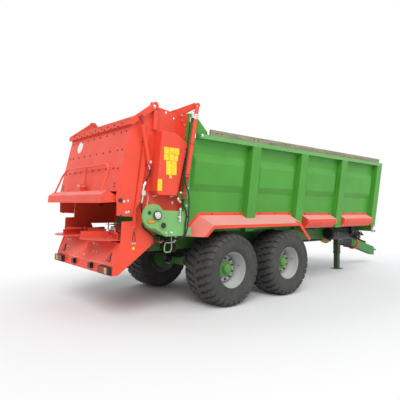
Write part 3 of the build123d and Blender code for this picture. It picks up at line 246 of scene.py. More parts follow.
# ------------------------------------------------------------------ materials
class Finish:
    """A node material under construction."""

    def __init__(self, name, roughness=0.5, metallic=0.0, coat=0.0, coat_roughness=0.1, ior=1.5):
        self.material = bpy.data.materials.new(name)
        self.material.use_nodes = True
        self.tree = self.material.node_tree
        self.shader = self.tree.nodes["Principled BSDF"]
        for socket, value in (
            ("Roughness", roughness),
            ("Metallic", metallic),
            ("Coat Weight", coat),
            ("Coat Roughness", coat_roughness),
            ("IOR", ior),
        ):
            self.shader.inputs[socket].default_value = value
        self.place = self.node("ShaderNodeTexCoord").outputs["Object"]

    def node(self, kind, **settings):
        made = self.tree.nodes.new(kind)
        for key, value in settings.items():
            setattr(made, key, value)
        return made

    def link(self, source, socket):
        self.tree.links.new(source, socket)

    def stretched(self, scale):
        """Object coordinates with their own scale along each axis."""
        mapping = self.node("ShaderNodeMapping")
        self.link(self.place, mapping.inputs["Vector"])
        mapping.inputs["Scale"].default_value = scale
        return mapping.outputs["Vector"]

    def noise(self, scale, detail=3.0, roughness=0.5, place=None):
        made = self.node("ShaderNodeTexNoise")
        self.link(place or self.place, made.inputs["Vector"])
        made.inputs["Scale"].default_value = scale
        made.inputs["Detail"].default_value = detail
        made.inputs["Roughness"].default_value = roughness
        return made.outputs["Fac"]

    def ranged(self, source, low, high, out_low=0.0, out_high=1.0):
        """A value taken from one range to another, and held at its ends."""
        made = self.node("ShaderNodeMapRange")
        self.link(source, made.inputs["Value"])
        for socket, value in (("From Min", low), ("From Max", high), ("To Min", out_low),
            ("To Max", out_high)):
            made.inputs[socket].default_value = value
        return made.outputs["Result"]

    def maths(self, operation, first, second):
        made = self.node("ShaderNodeMath", operation=operation)
        for index, value in enumerate((first, second)):
            if isinstance(value, (int, float)):
                made.inputs[index].default_value = value
            else:
                self.link(value, made.inputs[index])
        return made.outputs["Value"]

    def mixed(self, factor, first, second):
        """A colour between two, each given as a colour or a socket."""
        made = self.node("ShaderNodeMix", data_type="RGBA")
        self.link(factor, made.inputs["Factor"])
        for socket, value in ((made.inputs[6], first), (made.inputs[7], second)):
            if isinstance(value, (tuple, list)):
                socket.default_value = (*value, 1.0)
            else:
                self.link(value, socket)
        return made.outputs[2]

    def edge_normal_and_highlight(self, radius):
        """The bevel's rounded normal, and a mask for the painted edge highlight: 0 on flat faces, rising at
        the edges.
        """
        bevel = self.node("ShaderNodeBevel", samples=4)
        bevel.inputs["Radius"].default_value = radius
        geometry = self.node("ShaderNodeNewGeometry")
        dot = self.node("ShaderNodeVectorMath", operation="DOT_PRODUCT")
        self.link(bevel.outputs["Normal"], dot.inputs[0])
        self.link(geometry.outputs["Normal"], dot.inputs[1])
        return bevel.outputs["Normal"], self.ranged(dot.outputs["Value"], 0.99, 0.8)

    def bump(self, height, distance, strength=0.5, normal=None):
        made = self.node("ShaderNodeBump")
        made.inputs["Strength"].default_value = strength
        made.inputs["Distance"].default_value = distance
        self.link(height, made.inputs["Height"])
        if normal is not None:
            self.link(normal, made.inputs["Normal"])
        self.link(made.outputs["Normal"], self.shader.inputs["Normal"])

    def done(self, colour=None, roughness=None):
        if colour is not None:
            self.link(colour, self.shader.inputs["Base Color"])
        if roughness is not None:
            self.link(roughness, self.shader.inputs["Roughness"])
        return self.material


def scaled(colour, factor):
    return tuple(min(1.0, channel * factor) for channel in colour)


DUST = (0.3, 0.27, 0.2)


def painted(name, colour, gloss=0.4, coat=0.06, dust=0.07, low_dust=0.0, painted_sky_sheen=0.16):
    """Sprayed paint: faint cloudiness, orange peel, a painted highlight on the edges, a little road dust, and
    a painted sky sheen that lightens upward faces.
    """
    finish = Finish(name, coat=coat, coat_roughness=0.15, ior=1.38)
    cloud = finish.noise(1.7, 5, 0.6)
    colour_now = finish.mixed(finish.ranged(cloud, 0.3, 0.7), scaled(colour, 0.9), scaled(colour, 1.06))
    # Painted highlight: paint is lightened along edges, as if they catch the light.
    bevel, painted_edge_highlight = finish.edge_normal_and_highlight(0.005)
    painted_edge_highlight_colour = tuple(0.75 * channel + 0.12 for channel in colour)
    colour_now = finish.mixed(finish.maths("MULTIPLY", painted_edge_highlight, 0.55), colour_now, painted_edge_highlight_colour)
    speck = finish.ranged(finish.noise(7.0, 8, 0.7), 0.52, 0.78, 0.0, dust)
    if low_dust:
        split = finish.node("ShaderNodeSeparateXYZ")
        finish.link(finish.place, split.inputs[0])
        low = finish.ranged(split.outputs["Z"], 1.4, 0.5, 0.0, low_dust)
        speck = finish.maths("ADD", speck, finish.maths("MULTIPLY", low, finish.noise(3.0, 6, 0.65)))
    colour_now = finish.mixed(speck, colour_now, DUST)
    # Painted sky reflection: faces turned upwards are lightened towards a pale tint of the paint.
    facing = finish.node("ShaderNodeSeparateXYZ")
    finish.link(finish.node("ShaderNodeNewGeometry").outputs["Normal"], facing.inputs[0])
    painted_sky_sheen_mask = finish.ranged(facing.outputs["Z"], 0.45, 0.8, 0.0, painted_sky_sheen)
    colour_now = finish.mixed(painted_sky_sheen_mask, colour_now, tuple(0.72 + 0.24 * channel for channel in colour))
    rough = finish.ranged(finish.noise(4.0, 6, 0.6), 0.25, 0.8, gloss - 0.06, gloss + 0.16)
    finish.bump(finish.noise(260.0, 2), 0.0006, 0.25, bevel)
    return finish.done(colour_now, rough)


def rubber(name, colour, dust=0.4, bump=0.4):
    """Dull rubber with dust in its pores."""
    finish = Finish(name, ior=1.45)
    dusty = finish.ranged(finish.noise(5.0, 9, 0.7), 0.35, 0.75, 0.0, dust)
    colour_now = finish.mixed(dusty, colour, (0.1, 0.095, 0.082))
    grain = finish.noise(420.0, 3)
    finish.bump(grain, 0.0008, bump)
    return finish.done(colour_now, finish.ranged(finish.noise(11.0, 5), 0.3, 0.7, 0.62, 0.82))


def metal(name, colour, roughness, spread=0.12, spangle=40.0, bump=0.15):
    """Bare or plated metal with a patchy shine."""
    finish = Finish(name, metallic=1.0)
    patch = finish.node("ShaderNodeTexVoronoi")
    finish.link(finish.place, patch.inputs["Vector"])
    patch.inputs["Scale"].default_value = spangle
    tone = finish.ranged(patch.outputs["Distance"], 0.0, 0.8)
    colour_now = finish.mixed(tone, scaled(colour, 0.82), scaled(colour, 1.08))
    finish.bump(finish.noise(180.0, 4), 0.0005, bump)
    rough = finish.ranged(finish.noise(23.0, 5), 0.3, 0.7, roughness - spread / 2, roughness + spread)
    return finish.done(colour_now, rough)


def plastic(name, colour, roughness=0.25, ribs=0.0, coat=0.6):
    """Moulded plastic; ribs per metre give a lens its optics."""
    finish = Finish(name, coat=coat, coat_roughness=0.05)
    tone = finish.ranged(finish.noise(30.0, 4), 0.3, 0.7)
    if ribs:
        check = finish.node("ShaderNodeTexVoronoi", distance="CHEBYCHEV")
        finish.link(finish.stretched((1, 1, 1)), check.inputs["Vector"])
        check.inputs["Scale"].default_value = ribs
        check.inputs["Randomness"].default_value = 0.0
        finish.bump(check.outputs["Distance"], 0.003, 0.6)
        tone = finish.ranged(check.outputs["Distance"], 0.05, 0.5)
    else:
        finish.bump(finish.noise(300.0, 2), 0.0003, 0.2)
    colour_now = finish.mixed(tone, scaled(colour, 0.8), scaled(colour, 1.15))
    return finish.done(colour_now, finish.ranged(finish.noise(15.0, 4), 0.3, 0.7, roughness, roughness + 0.1))


def boards(name):
    """Weathered wooden planks: grain along X."""
    finish = Finish(name)
    grain = finish.noise(1.0, 6, 0.65, finish.stretched((3.0, 60.0, 60.0)))
    patch = finish.noise(2.2, 5, 0.6)
    colour_now = finish.mixed(finish.ranged(grain, 0.3, 0.7), (0.16, 0.145, 0.085), (0.4, 0.37, 0.25))
    colour_now = finish.mixed(finish.ranged(patch, 0.45, 0.75, 0, 0.55), colour_now, (0.13, 0.17, 0.07))
    finish.bump(grain, 0.003, 0.5)
    return finish.done(colour_now, finish.ranged(patch, 0.3, 0.7, 0.65, 0.9))


GREEN = (0.07, 0.315, 0.034)
LIGHT_GREEN = (0.185, 0.43, 0.135)
DARK_GREEN = (0.016, 0.062, 0.014)
RED = (0.81, 0.072, 0.034)
M = {
    "green": painted("green_paint", GREEN, low_dust=0.1),
    "rail_green": painted("rail_green_paint", (0.15, 0.4, 0.11)),
    "drawbar_green": painted("drawbar_green_paint", (0.03, 0.21, 0.024), low_dust=0.1),
    "jack_green": painted("jack_green_paint", DARK_GREEN, low_dust=0.1),
    "chassis_green": painted("chassis_green_paint", (0.04, 0.165, 0.026), low_dust=0.25),
    "cover_green": painted("cover_green_paint", LIGHT_GREEN),
    "hub_green": painted("hub_green_paint", (0.088, 0.27, 0.05)),
    "red": painted("red_paint", RED),
    # Fenders and skirts: the red paint with a stronger painted sky sheen on their upward faces.
    "red_strong_painted_sheen": painted("red_strong_painted_sheen_paint", RED, painted_sky_sheen=0.42),
    "dark_red": painted("dark_red_paint", (0.4, 0.02, 0.013), low_dust=0.1),
    "black": painted("black_paint", (0.009, 0.009, 0.01), gloss=0.42, dust=0.04, low_dust=0.04),
    "silver": painted("wheel_silver_paint", (0.4, 0.4, 0.39), gloss=0.36, coat=0.15, dust=0.1),
    "white": painted("white_paint", (0.78, 0.79, 0.8), gloss=0.35),
    "yellow": plastic("yellow_sticker", (0.88, 0.66, 0.02), 0.45, coat=0.0),
    "tyre": rubber("tyre_rubber", (0.038, 0.038, 0.037)),
    "hose": rubber("hose_rubber", (0.018, 0.018, 0.019), 0.15),
    "zinc": metal("zinc_plate", (0.62, 0.62, 0.6), 0.34),
    "bolt": metal("dark_bolt", (0.11, 0.11, 0.115), 0.42),
    "steel": metal("bare_steel", (0.36, 0.35, 0.33), 0.45, 0.2, 14.0),
    "iron": metal("cast_iron", (0.13, 0.13, 0.13), 0.6, 0.2, 60.0, 0.5),
    "amber": plastic("amber_lens", (0.85, 0.24, 0.005), 0.3, 90.0, 0.15),
    "red_lens": plastic("red_lens", (0.2, 0.007, 0.006), 0.3, 90.0, 0.15),
    "clear_lens": plastic("clear_lens", (0.55, 0.55, 0.55), 0.2, 90.0),
    "black_plastic": plastic("black_plastic", (0.016, 0.016, 0.017), 0.45, coat=0.1),
    "shaft_guard": plastic("yellow_shaft_guard", (0.42, 0.25, 0.015), 0.4, coat=0.2),
    "boards": boards("weathered_boards"),
}

CAD_FINISH = (
    ("chassis_beams cross_members rear_axle front_axle", "chassis_green"),
    ("drawbar towing_eye", "drawbar_green"),
    ("side_wall_right side_wall_left wall_posts front_wall rear_portal gate", "green"),
    ("top_rails", "rail_green"),
    ("floor_drive_cover", "cover_green"),
    ("side_skirts wheel_fenders", "red_strong_painted_sheen"),
    ("spreader_side_right spreader_side_left lower_side_plates", "red"),
    ("rear_panel light_bar chain_guard hood flap gate_barrel_right gate_barrel_left", "red"),
    ("hood_barrel_right hood_barrel_left spreading_disc_right spreading_disc_left disc_deck", "red"),
    ("lower_beater upper_beater gate_rod_right gate_rod_left", "dark_red"),
    ("gate_arms drawbar_ring", "red"),
    ("air_tank leaf_springs", "black"),
    ("jack_leg jack_sleeve", "jack_green"),
    ("main_gearbox shaft_bearing", "iron"),
    ("box_floor floor_conveyor conveyor_shaft pto_shaft", "steel"),
    ("hood_rod_right hood_rod_left", "dark_red"),
    ("top_boards", "boards"),
    ("rear_lamps", "black_plastic"),
)


def dress(node, finish):
    """Gives a CAD node its material."""
    NODES[node].data.materials.clear()
    NODES[node].data.materials.append(M[finish])


for names, finish_name in CAD_FINISH:
    for node_name in names.split():
        dress(node_name, finish_name)
for node_name in NODES:
    if node_name.endswith("_tyre"):
        dress(node_name, "tyre")
    if node_name.endswith("_wheel"):
        dress(node_name, "silver")


# ------------------------------------------------------------------ wheels
CARCASS = (
    (0.262, 0.292), (0.272, 0.312), (0.286, 0.345), (0.297, 0.395), (0.2985, 0.44),
    (0.293, 0.482), (0.279, 0.512), (0.255, 0.534), (0.215, 0.546), (0.12, 0.551), (0.0, 0.553),
)  # fmt: skip
LUG_COUNT = 29
LUG_LINE = (  # share of the half width, turn behind the lug's root, height over the carcass
    (-0.09, -0.034, 0.0315), (0.1, 0.014, 0.0315), (0.26, 0.023, 0.0315), (0.3, 0.068, 0.0315),
    (0.48, 0.084, 0.0315), (0.6, 0.094, 0.031), (0.64, 0.137, 0.03), (0.8, 0.158, 0.028),
    (0.92, 0.178, 0.024), (0.975, 0.193, 0.015), (0.992, 0.205, 0.004),
)  # fmt: skip


def carcass_line():
    """The tyre's outer section as a smooth line, from one bead over the crown to the other."""
    half = smooth_line([(y, r, 0) for y, r in CARCASS], 4)
    return [(-p.x, p.y) for p in half[:-1]] + [(p.x, p.y) for p in reversed(half)]


def carcass_point(share):
    """Section point (y, r) and its outward direction at a share of the half width."""
    half = smooth_line([(y, r, 0) for y, r in CARCASS], 12)
    half.reverse()
    lengths = [0.0]
    for a, b in zip(half, half[1:]):
        lengths.append(lengths[-1] + (b - a).length)
    target = abs(share) * (lengths[-1] * 0.62)
    index = max(i for i, length in enumerate(lengths[:-1]) if length <= target)
    a, b = half[index], half[index + 1]
    t = (target - lengths[index]) / (lengths[index + 1] - lengths[index])
    point, run = a.lerp(b, t), (b - a).normalized()
    sign = 1 if share >= 0 else -1
    return sign * point.x, point.y, -sign * run.y, run.x


def tyre_form(centre, side):
    """Carcass with curved, stepped lugs that meet along the middle, and rings on the walls."""
    form = Form()
    section = carcass_line()
    rings = []
    section += [(RIM_HALF_W - 0.006, 0.288), (-RIM_HALF_W + 0.006, 0.288)]
    for step in range(TYRE_STEPS):
        direction = spoke(math.tau * step / TYRE_STEPS)
        rings.append([centre + direction * r + Vector((0, y, 0)) for y, r in section])
    form.rings(rings, loop=True)
    spots = [(*carcass_point(share), turn, height) for share, turn, height in LUG_LINE]
    for half in (-1, 1):
        for lug in range(LUG_COUNT):
            root = math.tau * (lug + (0.5 if half > 0 else 0.0)) / LUG_COUNT
            rows = []
            for y, r, out_y, out_r, turn, height in spots:
                middle = root + turn * side
                reach = 0.036 / r * (1.0 + 0.18 * abs(y) / TYRE_HALF_W)
                foot, top = reach * 1.22, reach * 0.9
                row = []
                for angle, lift in ((-foot, -0.006), (-top, height), (top, height), (foot, -0.006)):
                    direction = spoke(middle + angle)
                    row.append(
                        centre
                        + direction * (r + out_r * lift)
                        + Vector((0, half * min(y + out_y * lift, TYRE_HALF_W - 0.0004), 0))
                    )
                rows.append(row)
            form.rings(rows)
    for wall in (-1, 1):
        for radius, y in ((0.322, 0.2775), (0.35, 0.2885), (0.462, 0.2975)):
            ring_on(form, centre, wall * y, radius, 0.0022, 96)
    return form


def ring_on(form, centre, y, radius, thick, sides):
    """A thin ring round the wheel's axis."""
    rings = []
    for step in range(sides):
        turn = math.tau * step / sides
        direction = spoke(turn)
        rings.append(
            [
                centre + direction * (radius + thick * 1.6 * c) + Vector((0, y + thick * s, 0))
                for c, s in circle(6)
            ]
        )
    form.rings(rings, loop=True)


RIM_SECTION = (  # distance out from the middle plane, radius: a closed section of the pressed rim
    (0.262, 0.303), (0.258, 0.3035), (0.25, 0.299), (0.246, 0.29), (0.236, 0.286), (0.17, 0.283),
    (0.15, 0.276), (0.1, 0.246), (-0.06, 0.243), (-0.12, 0.262), (-0.165, 0.283), (-0.236, 0.286),
    (-0.246, 0.29), (-0.25, 0.299), (-0.258, 0.3035), (-0.262, 0.303), (-0.262, 0.297), (-0.256, 0.2925),
    (-0.252, 0.282), (-0.238, 0.278), (-0.17, 0.274), (-0.122, 0.254), (-0.062, 0.235), (0.098, 0.238),
    (0.152, 0.267), (0.172, 0.275), (0.238, 0.278), (0.252, 0.282), (0.256, 0.2925), (0.262, 0.297),
)  # fmt: skip
DISC_SECTION = (
    (0.062, 0.1), (0.062, 0.15), (0.067, 0.186), (0.06, 0.205), (0.03, 0.226), (-0.01, 0.2365),
    (-0.02, 0.2365), (-0.02, 0.226), (0.018, 0.214), (0.044, 0.196), (0.048, 0.15), (0.048, 0.1),
)  # fmt: skip
HUB_SECTION = (
    (-0.1, 0.06), (-0.1, 0.12), (0.05, 0.12), (0.063, 0.134), (0.076, 0.134), (0.08, 0.128),
    (0.086, 0.092), (0.1, 0.082), (0.14, 0.078), (0.146, 0.072), (0.148, 0.06), (0.156, 0.054),
    (0.16, 0.04), (0.16, 0.0),
)  # fmt: skip


def lathe_y(form, centre, side, section, sides=72, closed=False):
    """Turns a section of (distance out, radius) round the wheel's axis."""
    rings = []
    for out, radius in section:
        rings.append([centre + Vector((radius * c, side * out, radius * s)) for c, s in circle(sides)])
    form.rings(rings, closed_ends=not closed, loop=closed)


def wheel(position, side):
    """One wheel: tyre, rim with disc, and hub with its nuts."""
    hand = "right" if side < 0 else "left"
    body = f"{position}_{hand}_wheel"
    low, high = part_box(f"{position}_{hand}_tyre")
    centre = (low + high) / 2
    piece(tyre_form(centre, side), f"tyre_{position}_{hand}", "tyre", body,
        smooth=28, replaces=(f"{position}_{hand}_tyre",),
    )  # fmt: skip
    rim = Form()
    lathe_y(rim, centre, side, RIM_SECTION, 96, closed=True)
    lathe_y(rim, centre, side, DISC_SECTION, 96, closed=True)
    ring_on(rim, centre, side * 0.16, 0.273, 0.003, 96)
    piece(rim, f"rim_{position}_{hand}", "silver", body,
        smooth=32, replaces=(f"{position}_{hand}_wheel",),
    )  # fmt: skip
    hub = Form()
    lathe_y(hub, centre, side, HUB_SECTION, 40)
    for index in range(6):
        turn = math.tau * index / 6
        spot = centre + spoke(turn, HUB_BOLT_R, side * 0.148)
        hub.bolt(spot, (0, side, 0), 0.008, washer=False)
    piece(hub, f"hub_{position}_{hand}", "hub_green", body, smooth=32)
    nuts, hole_shades = Form(), Form()
    for index in range(STUDS):
        turn = math.tau * (index + 0.5) / STUDS
        spot = centre + spoke(turn, STUD_PCR, side * 0.062)
        nuts.turned(spot, (0, side, 0), ((0, 0.0215), (0.008, 0.0195), (0.008, 0.0165)), 16)
        nuts.turned(spot, (0, side, 0), ((0.006, 0.016), (0.026, 0.016), (0.029, 0.012)), 6)
        nuts.rod(spot, spot + Vector((0, side * 0.04, 0)), 0.0095, 10)
    # Black discs on the wheel disc: painted shade where its holes would be.
    for index in range(8):
        turn = math.tau * index / 8
        spot = centre + spoke(turn, DISC_HOLE_R, side * 0.058)
        hole_shades.turned(spot, spoke(turn, 0.35, side), ((0, 0.011), (0.004, 0.011)), 14)
    valve = centre + Vector((0.243, side * 0.11, 0.05))
    nuts.tube((valve, valve + Vector((-0.016, side * 0.03, -0.003)),
        valve + Vector((-0.02, side * 0.07, -0.004))), 0.005)
    piece(nuts, f"nuts_{position}_{hand}", "bolt", body, smooth=30)
    piece(hole_shades, f"rim_hole_shades_{position}_{hand}", "black", body, smooth=30)


for wheel_position in ("front", "rear"):
    for wheel_side in (-1, 1):
        wheel(wheel_position, wheel_side)


# ------------------------------------------------------------------ fittings on the CAD faces
def seat(node, x, y, z, toward):
    """Where a line from a point first meets a CAD node, and the way its face looks."""
    toward = Vector(toward)
    hit, place, normal, _ = NODES[node].ray_cast(at(x, y, z), toward)
    if not hit:
        raise ValueError(f"no face of {node} seen from {x}, {y}, {z}")
    return place, -normal if normal.dot(toward) > 0 else normal


def seated_bolts(name, node, body, starts, toward, size, finish, mirrored=True):
    """Hex bolts on the face of a node that lies ahead of each start point."""
    form = Form()
    for x, y, z in starts:
        for side in (1, -1) if mirrored else (1,):
            place, normal = seat(node, x, side * y, z, (toward[0], side * toward[1], toward[2]))
            form.bolt(place, normal, size)
    piece(form, name, finish, body, smooth=30)


def free_bolts(name, body, spots, normal, size, finish, sides=(1, -1)):
    """Hex bolts whose seats are given, on each of the sides."""
    form = Form()
    for x, y, z in spots:
        for side in sides:
            form.bolt(at(x, side * y, z), (normal[0], side * normal[1], normal[2]), size)
    piece(form, name, finish, body, smooth=30)


HANDS = (("right", -1), ("left", 1))
VANE_TURNS = tuple(math.tau * k / 6 + 0.3 for k in range(6))
HOOD_STEPS = (-0.9, -0.76, -0.543, -0.326, -0.109, 0.109, 0.326, 0.543, 0.76, 0.9)
SEATED = (  # name, node, body, start points, direction, head radius, finish, on both sides
    ("hood_side_bolts", "hood", "hood", ((-1.848, 2, 1.645), (-1.79, 2, 1.655), (-1.812, 2, 1.498),
        (-1.774, 2, 1.504)),
     (0, -1, 0), 0.013, "zinc", True),
    ("hood_pivot_bolts", "hood", "hood", ((-1.41, 2, 2.998),), (0, -1, 0), 0.018, "zinc", True),
    ("hood_corner_bolts", "hood", "hood", ((-1.894, 2, 1.459),), (0, -1, 0), 0.012, "bolt", True),
    ("hood_strip_bolts", "hood", "hood",
     tuple((-3, y, 2.735) for y in (-0.82, -0.605, -0.4, -0.2, 0.008, 0.2, 0.4, 0.6, 0.8))
     + tuple((-3, y, 2.708) for y in (-0.71, -0.5, -0.292, -0.09, 0.12, 0.31, 0.51, 0.7)),
     (1, 0, 0), 0.009, "bolt", False),
    ("hood_panel_bolts", "hood", "hood",
     tuple((-3, y, z) for z in (2.62, 2.36) for y in HOOD_STEPS)
     + tuple((-3, y, z) for z in (2.097, 1.85) for y in HOOD_STEPS if abs(y) > 0.8)
     + tuple((-1.95, y, 2.105) for y in HOOD_STEPS if abs(y) < 0.8)
     + tuple((-3, y, 1.893) for y in (-0.9, 0.9)),
     (1, 0, 0), 0.01, "bolt", False),
    *((f"spreader_side_bolts_{hand}", f"spreader_side_{hand}", "spreader",
       tuple((x, 2 * side, z) for x, z in ((-1.177, 2.953), (-1.029, 2.885), (-1.042, 1.641),
           (-1.575, 2.5))),
       (0, -side, 0), 0.014, "zinc", False) for hand, side in HANDS),
    *((f"side_flange_bolts_{hand}", f"spreader_side_{hand}", "spreader",
       tuple((-1.1, side * y, z) for y, z in ((1.026, 2.943), (1.027, 2.874), (1.095, 2.794),
           (1.01, 1.541))),
       (1, 0, 0), 0.013, "zinc", False) for hand, side in HANDS),
    ("lower_side_bolts", "lower_side_plates", "spreader",
     ((-1.512, 2, 1.275), (-1.688, 2, 1.3)), (0, -1, 0), 0.011, "zinc", True),
    ("rear_panel_bolts", "rear_panel", "spreader",
     ((-3, 0.8, 1.011), (-3, 0.728, 1.015), (-3, 0.711, 0.907), (-3, 0.621, 0.911), (-3, -0.148, 1.019),
         (-3, -0.241, 1.017),
      (-3, -0.239, 0.913), (-3, -0.337, 0.915), (-3, 0.226, 0.841), (-3, -0.025, 0.846)), (1, 0, 0), 0.011,
          "zinc", False),
    ("fender_bolts", "wheel_fenders", "spreader",
     tuple((x, 2, 1.478) for x in (-0.243, 0.278, 0.895, 1.324, 1.741)), (0, -1, 0), 0.009, "bolt", True),
    ("skirt_bolts", "side_skirts", "spreader",
     tuple((x, 2, 1.468) for x in (2.249, 2.718, 3.104, 3.7, 4.116, 4.526)), (0, -1, 0), 0.009, "bolt",
         True),
    ("skirt_end_bolts", "side_skirts", "spreader", ((2.18, 2, 1.31), (3.1, 2, 1.302), (3.62, 2, 1.305),
        (4.66, 2, 1.302)),
     (0, -1, 0), 0.009, "bolt", True),
    ("portal_bolts", "rear_portal", "spreader", ((-0.862, 2, 1.86), (-0.862, 2, 1.6), (-0.862, 2, 1.34)),
        (0, -1, 0), 0.012, "zinc", True),
    ("post_foot_bolts", "wall_posts", "spreader",
     tuple((x + step, 2, 1.235) for x in POST_CENTRES for step in (-0.045, 0.045)), (0, -1, 0), 0.01,
         "bolt", True),
    *((f"disc_vane_bolts_{hand}", f"spreading_disc_{hand}", f"spreading_disc_{hand}",
       tuple((-1.73 + 0.09 * math.cos(turn), side * 0.48 + 0.09 * math.sin(turn), 2) for turn in VANE_TURNS),
       (0, 0, -1), 0.009, "zinc", False) for hand, side in HANDS),
    ("front_wall_bolts", "front_wall", "spreader",
     tuple((6, y, z) for y in (-0.84, -0.42, 0.0, 0.42, 0.84) for z in (1.32, 2.55)), (-1, 0, 0), 0.01,
         "bolt", False),
    ("towing_eye_bolts", "drawbar", "spreader",
     ((7.6, -0.048, 0.265), (7.6, 0.048, 0.265), (7.6, -0.048, 0.455), (7.6, 0.048, 0.455)), (-1, 0, 0),
         0.01, "zinc", False),
    ("gearbox_bolts", "main_gearbox", "spreader",
     tuple((-1.3 + dx, -2, z) for dx in (-0.06, 0.06) for z in (0.7, 0.93)), (0, 1, 0), 0.009, "bolt",
         False),
)  # fmt: skip
for bolt_row in SEATED:
    seated_bolts(*bolt_row)

COVER_Y = 1.2225
free_bolts("cover_bracket_bolts", "spreader", ((-1.304, 1.2105, 1.219), (-1.206, 1.2105, 1.217)), (0, 1, 0),
    0.013, "zinc", (-1,))
free_bolts("cover_bolts", "spreader", ((-1.308, 1.2005, 1.434),), (0, 1, 0), 0.011, "steel", (-1,))
free_bolts("gate_arm_bolts", "gate", ((-0.812, 1.261, 3.062),), (0, 1, 0), 0.009, "zinc")
free_bolts("rail_end_bolts", "spreader", ((-0.676, 1.2275, 2.652),), (0, 1, 0), 0.016, "zinc")


def sheet_patch(form, corner, across, up, width, height, thick=0.0008):
    """A thin rounded rectangle: a corner, two directions in its plane and its sizes."""
    corner, across, up = Vector(corner), Vector(across).normalized(), Vector(up).normalized()
    cut = 0.12 * min(width, height)
    outline = []
    for u, v, turn in ((width - cut, height - cut, 0), (cut, height - cut, 1), (cut, cut, 2),
        (width - cut, cut, 3)):
        for k in range(4):
            angle = (turn + k / 3) * math.pi / 2
            outline.append(corner + across * (u + cut * math.cos(angle)) + up * (v + cut * math.sin(angle)))
    form.prism(outline, across.cross(up) * thick)


def stickers():
    """Blank plates where the machine carries its signs."""
    yellow, white = Form(), Form()
    for x0, x1, z0, z1 in (
        (-1.33, -1.245, 2.33, 2.42), (-1.24, -1.155, 2.33, 2.42), (-1.15, -1.065, 2.33, 2.42),
        (-1.33, -1.245, 2.236, 2.325), (-1.24, -1.155, 2.236, 2.325), (-1.15, -1.085, 2.236, 2.325),
        (-1.29, -1.203, 2.035, 2.23), (-1.198, -1.11, 2.035, 2.23), (-1.232, -1.192, 1.985, 2.03),
        (-1.428, -1.356, 1.806, 1.965),
    ):  # fmt: skip
        sheet_patch(yellow, at(x0, -GUARD_Y - 0.0006, z0), (1, 0, 0), (0, 0, 1), x1 - x0, z1 - z0)
    sheet_patch(yellow, at(-1.7, -SIDE_Y - 0.0008, 0.985), (1, 0, 0), (0, 0, 1), 0.036, 0.036)
    for x0, z0 in ((-1.24, 2.24), (-1.24, 2.1)):
        sheet_patch(yellow, at(x0, RIB_Y + 0.0008, z0), (-1, 0, 0), (0, 0, 1), 0.12, 0.1)
    place, normal = seat("hood", -3, 0.585, 2.537, (1, 0, 0))
    white.turned(place - normal * 0.001, normal, ((0, 0.097), (0.002, 0.097), (0.0026, 0.0955)), 48)
    piece(yellow, "blank_signs", "yellow", smooth=20)
    piece(white, "blank_round_plate", "white", "hood", smooth=20)


def rear_lights():
    """Three-part tail lamps, number lamps, triangular reflectors and side markers."""
    red, amber, dark, clear = Form(), Form(), Form(), Form()
    face = -2.0375
    for side in (1, -1):
        for form, inner, outer in ((red, 0.668, 0.747), (red, 0.752, 0.831), (amber, 0.836, 0.914)):
            for row in range(2):
                low = 0.677 + row * 0.0425
                form.box(at(face - 0.01, side * inner, low), at(face, side * outer, low + 0.0395))
        for low, high in ((0.668, 0.675), (0.761, 0.768)):
            dark.box(at(face - 0.013, side * 0.66, low), at(face + 0.002, side * 0.95, high))
        for inner, outer in ((0.66, 0.6665), (0.9155, 0.95)):
            dark.box(at(face - 0.013, side * inner, 0.675), at(face + 0.002, side * outer, 0.761))
        centre, normal = seat("rear_panel", -3, side * 0.8, 0.865, (1, 0, 0))
        slope = Vector((0, 0, 1)) - normal * normal.z
        slope.normalize()
        across = slope.cross(normal).normalized()
        for form, size, base in ((dark, 0.084, 0.0), (red, 0.074, 0.004)):
            corners = [
                centre + normal * (0.003 + base)
                + across * (size * math.sin(turn)) + slope * (size * math.cos(turn))
                for turn in (0, math.tau / 3, -math.tau / 3)
            ]
            form.prism(corners, normal * 0.005)
    for y0, y1 in ((-0.3975, -0.3125), (0.1925, 0.2775)):
        dark.prism(
            path((-2.0415, y0, 0.7), (-2.0415, y0, 0.75), (-2.03, y0, 0.7665), (-1.995, y0, 0.7665),
                (-1.995, y0, 0.762), (-2.0405, y0, 0.7)),
            (0, y1 - y0, 0),
        )
        clear.box(at(-2.036, y0 + 0.012, 0.686), at(-2.0, y1 - 0.012, 0.6905))
        for step in (0.12, 0.5, 0.88):
            dark.bolt(at(-2.0415, y0 + (y1 - y0) * step, 0.744), (-1, 0, 0), 0.004, washer=False)
    for x, y, z, node in ((1.671, 2, 1.323, "wheel_fenders"), (4.903, 2, 1.177, "wall_posts")):
        for side in (1, -1):
            place, normal = seat(node, x, side * y, z, (0, -side, 0))
            dark.turned(place, normal, ((0, 0.036), (0.006, 0.036), (0.008, 0.033)), 28)
            amber.turned(place + normal * 0.006, normal,
                ((0, 0.03), (0.01, 0.03), (0.015, 0.024), (0.017, 0.01)), 28)
    dark.box(at(-1.597, -COVER_Y + 0.019, 1.357), at(-1.49, -COVER_Y + 0.0225, 1.402))
    amber.box(at(-1.593, -COVER_Y + 0.013, 1.361), at(-1.494, -COVER_Y + 0.0195, 1.398))
    piece(red, "red_lenses", "red_lens", bevel=0.002)
    piece(amber, "amber_lenses", "amber", bevel=0.002)
    piece(dark, "lamp_frames", "black_plastic", bevel=0.0015)
    piece(clear, "number_lamp_lenses", "clear_lens", bevel=0.001)


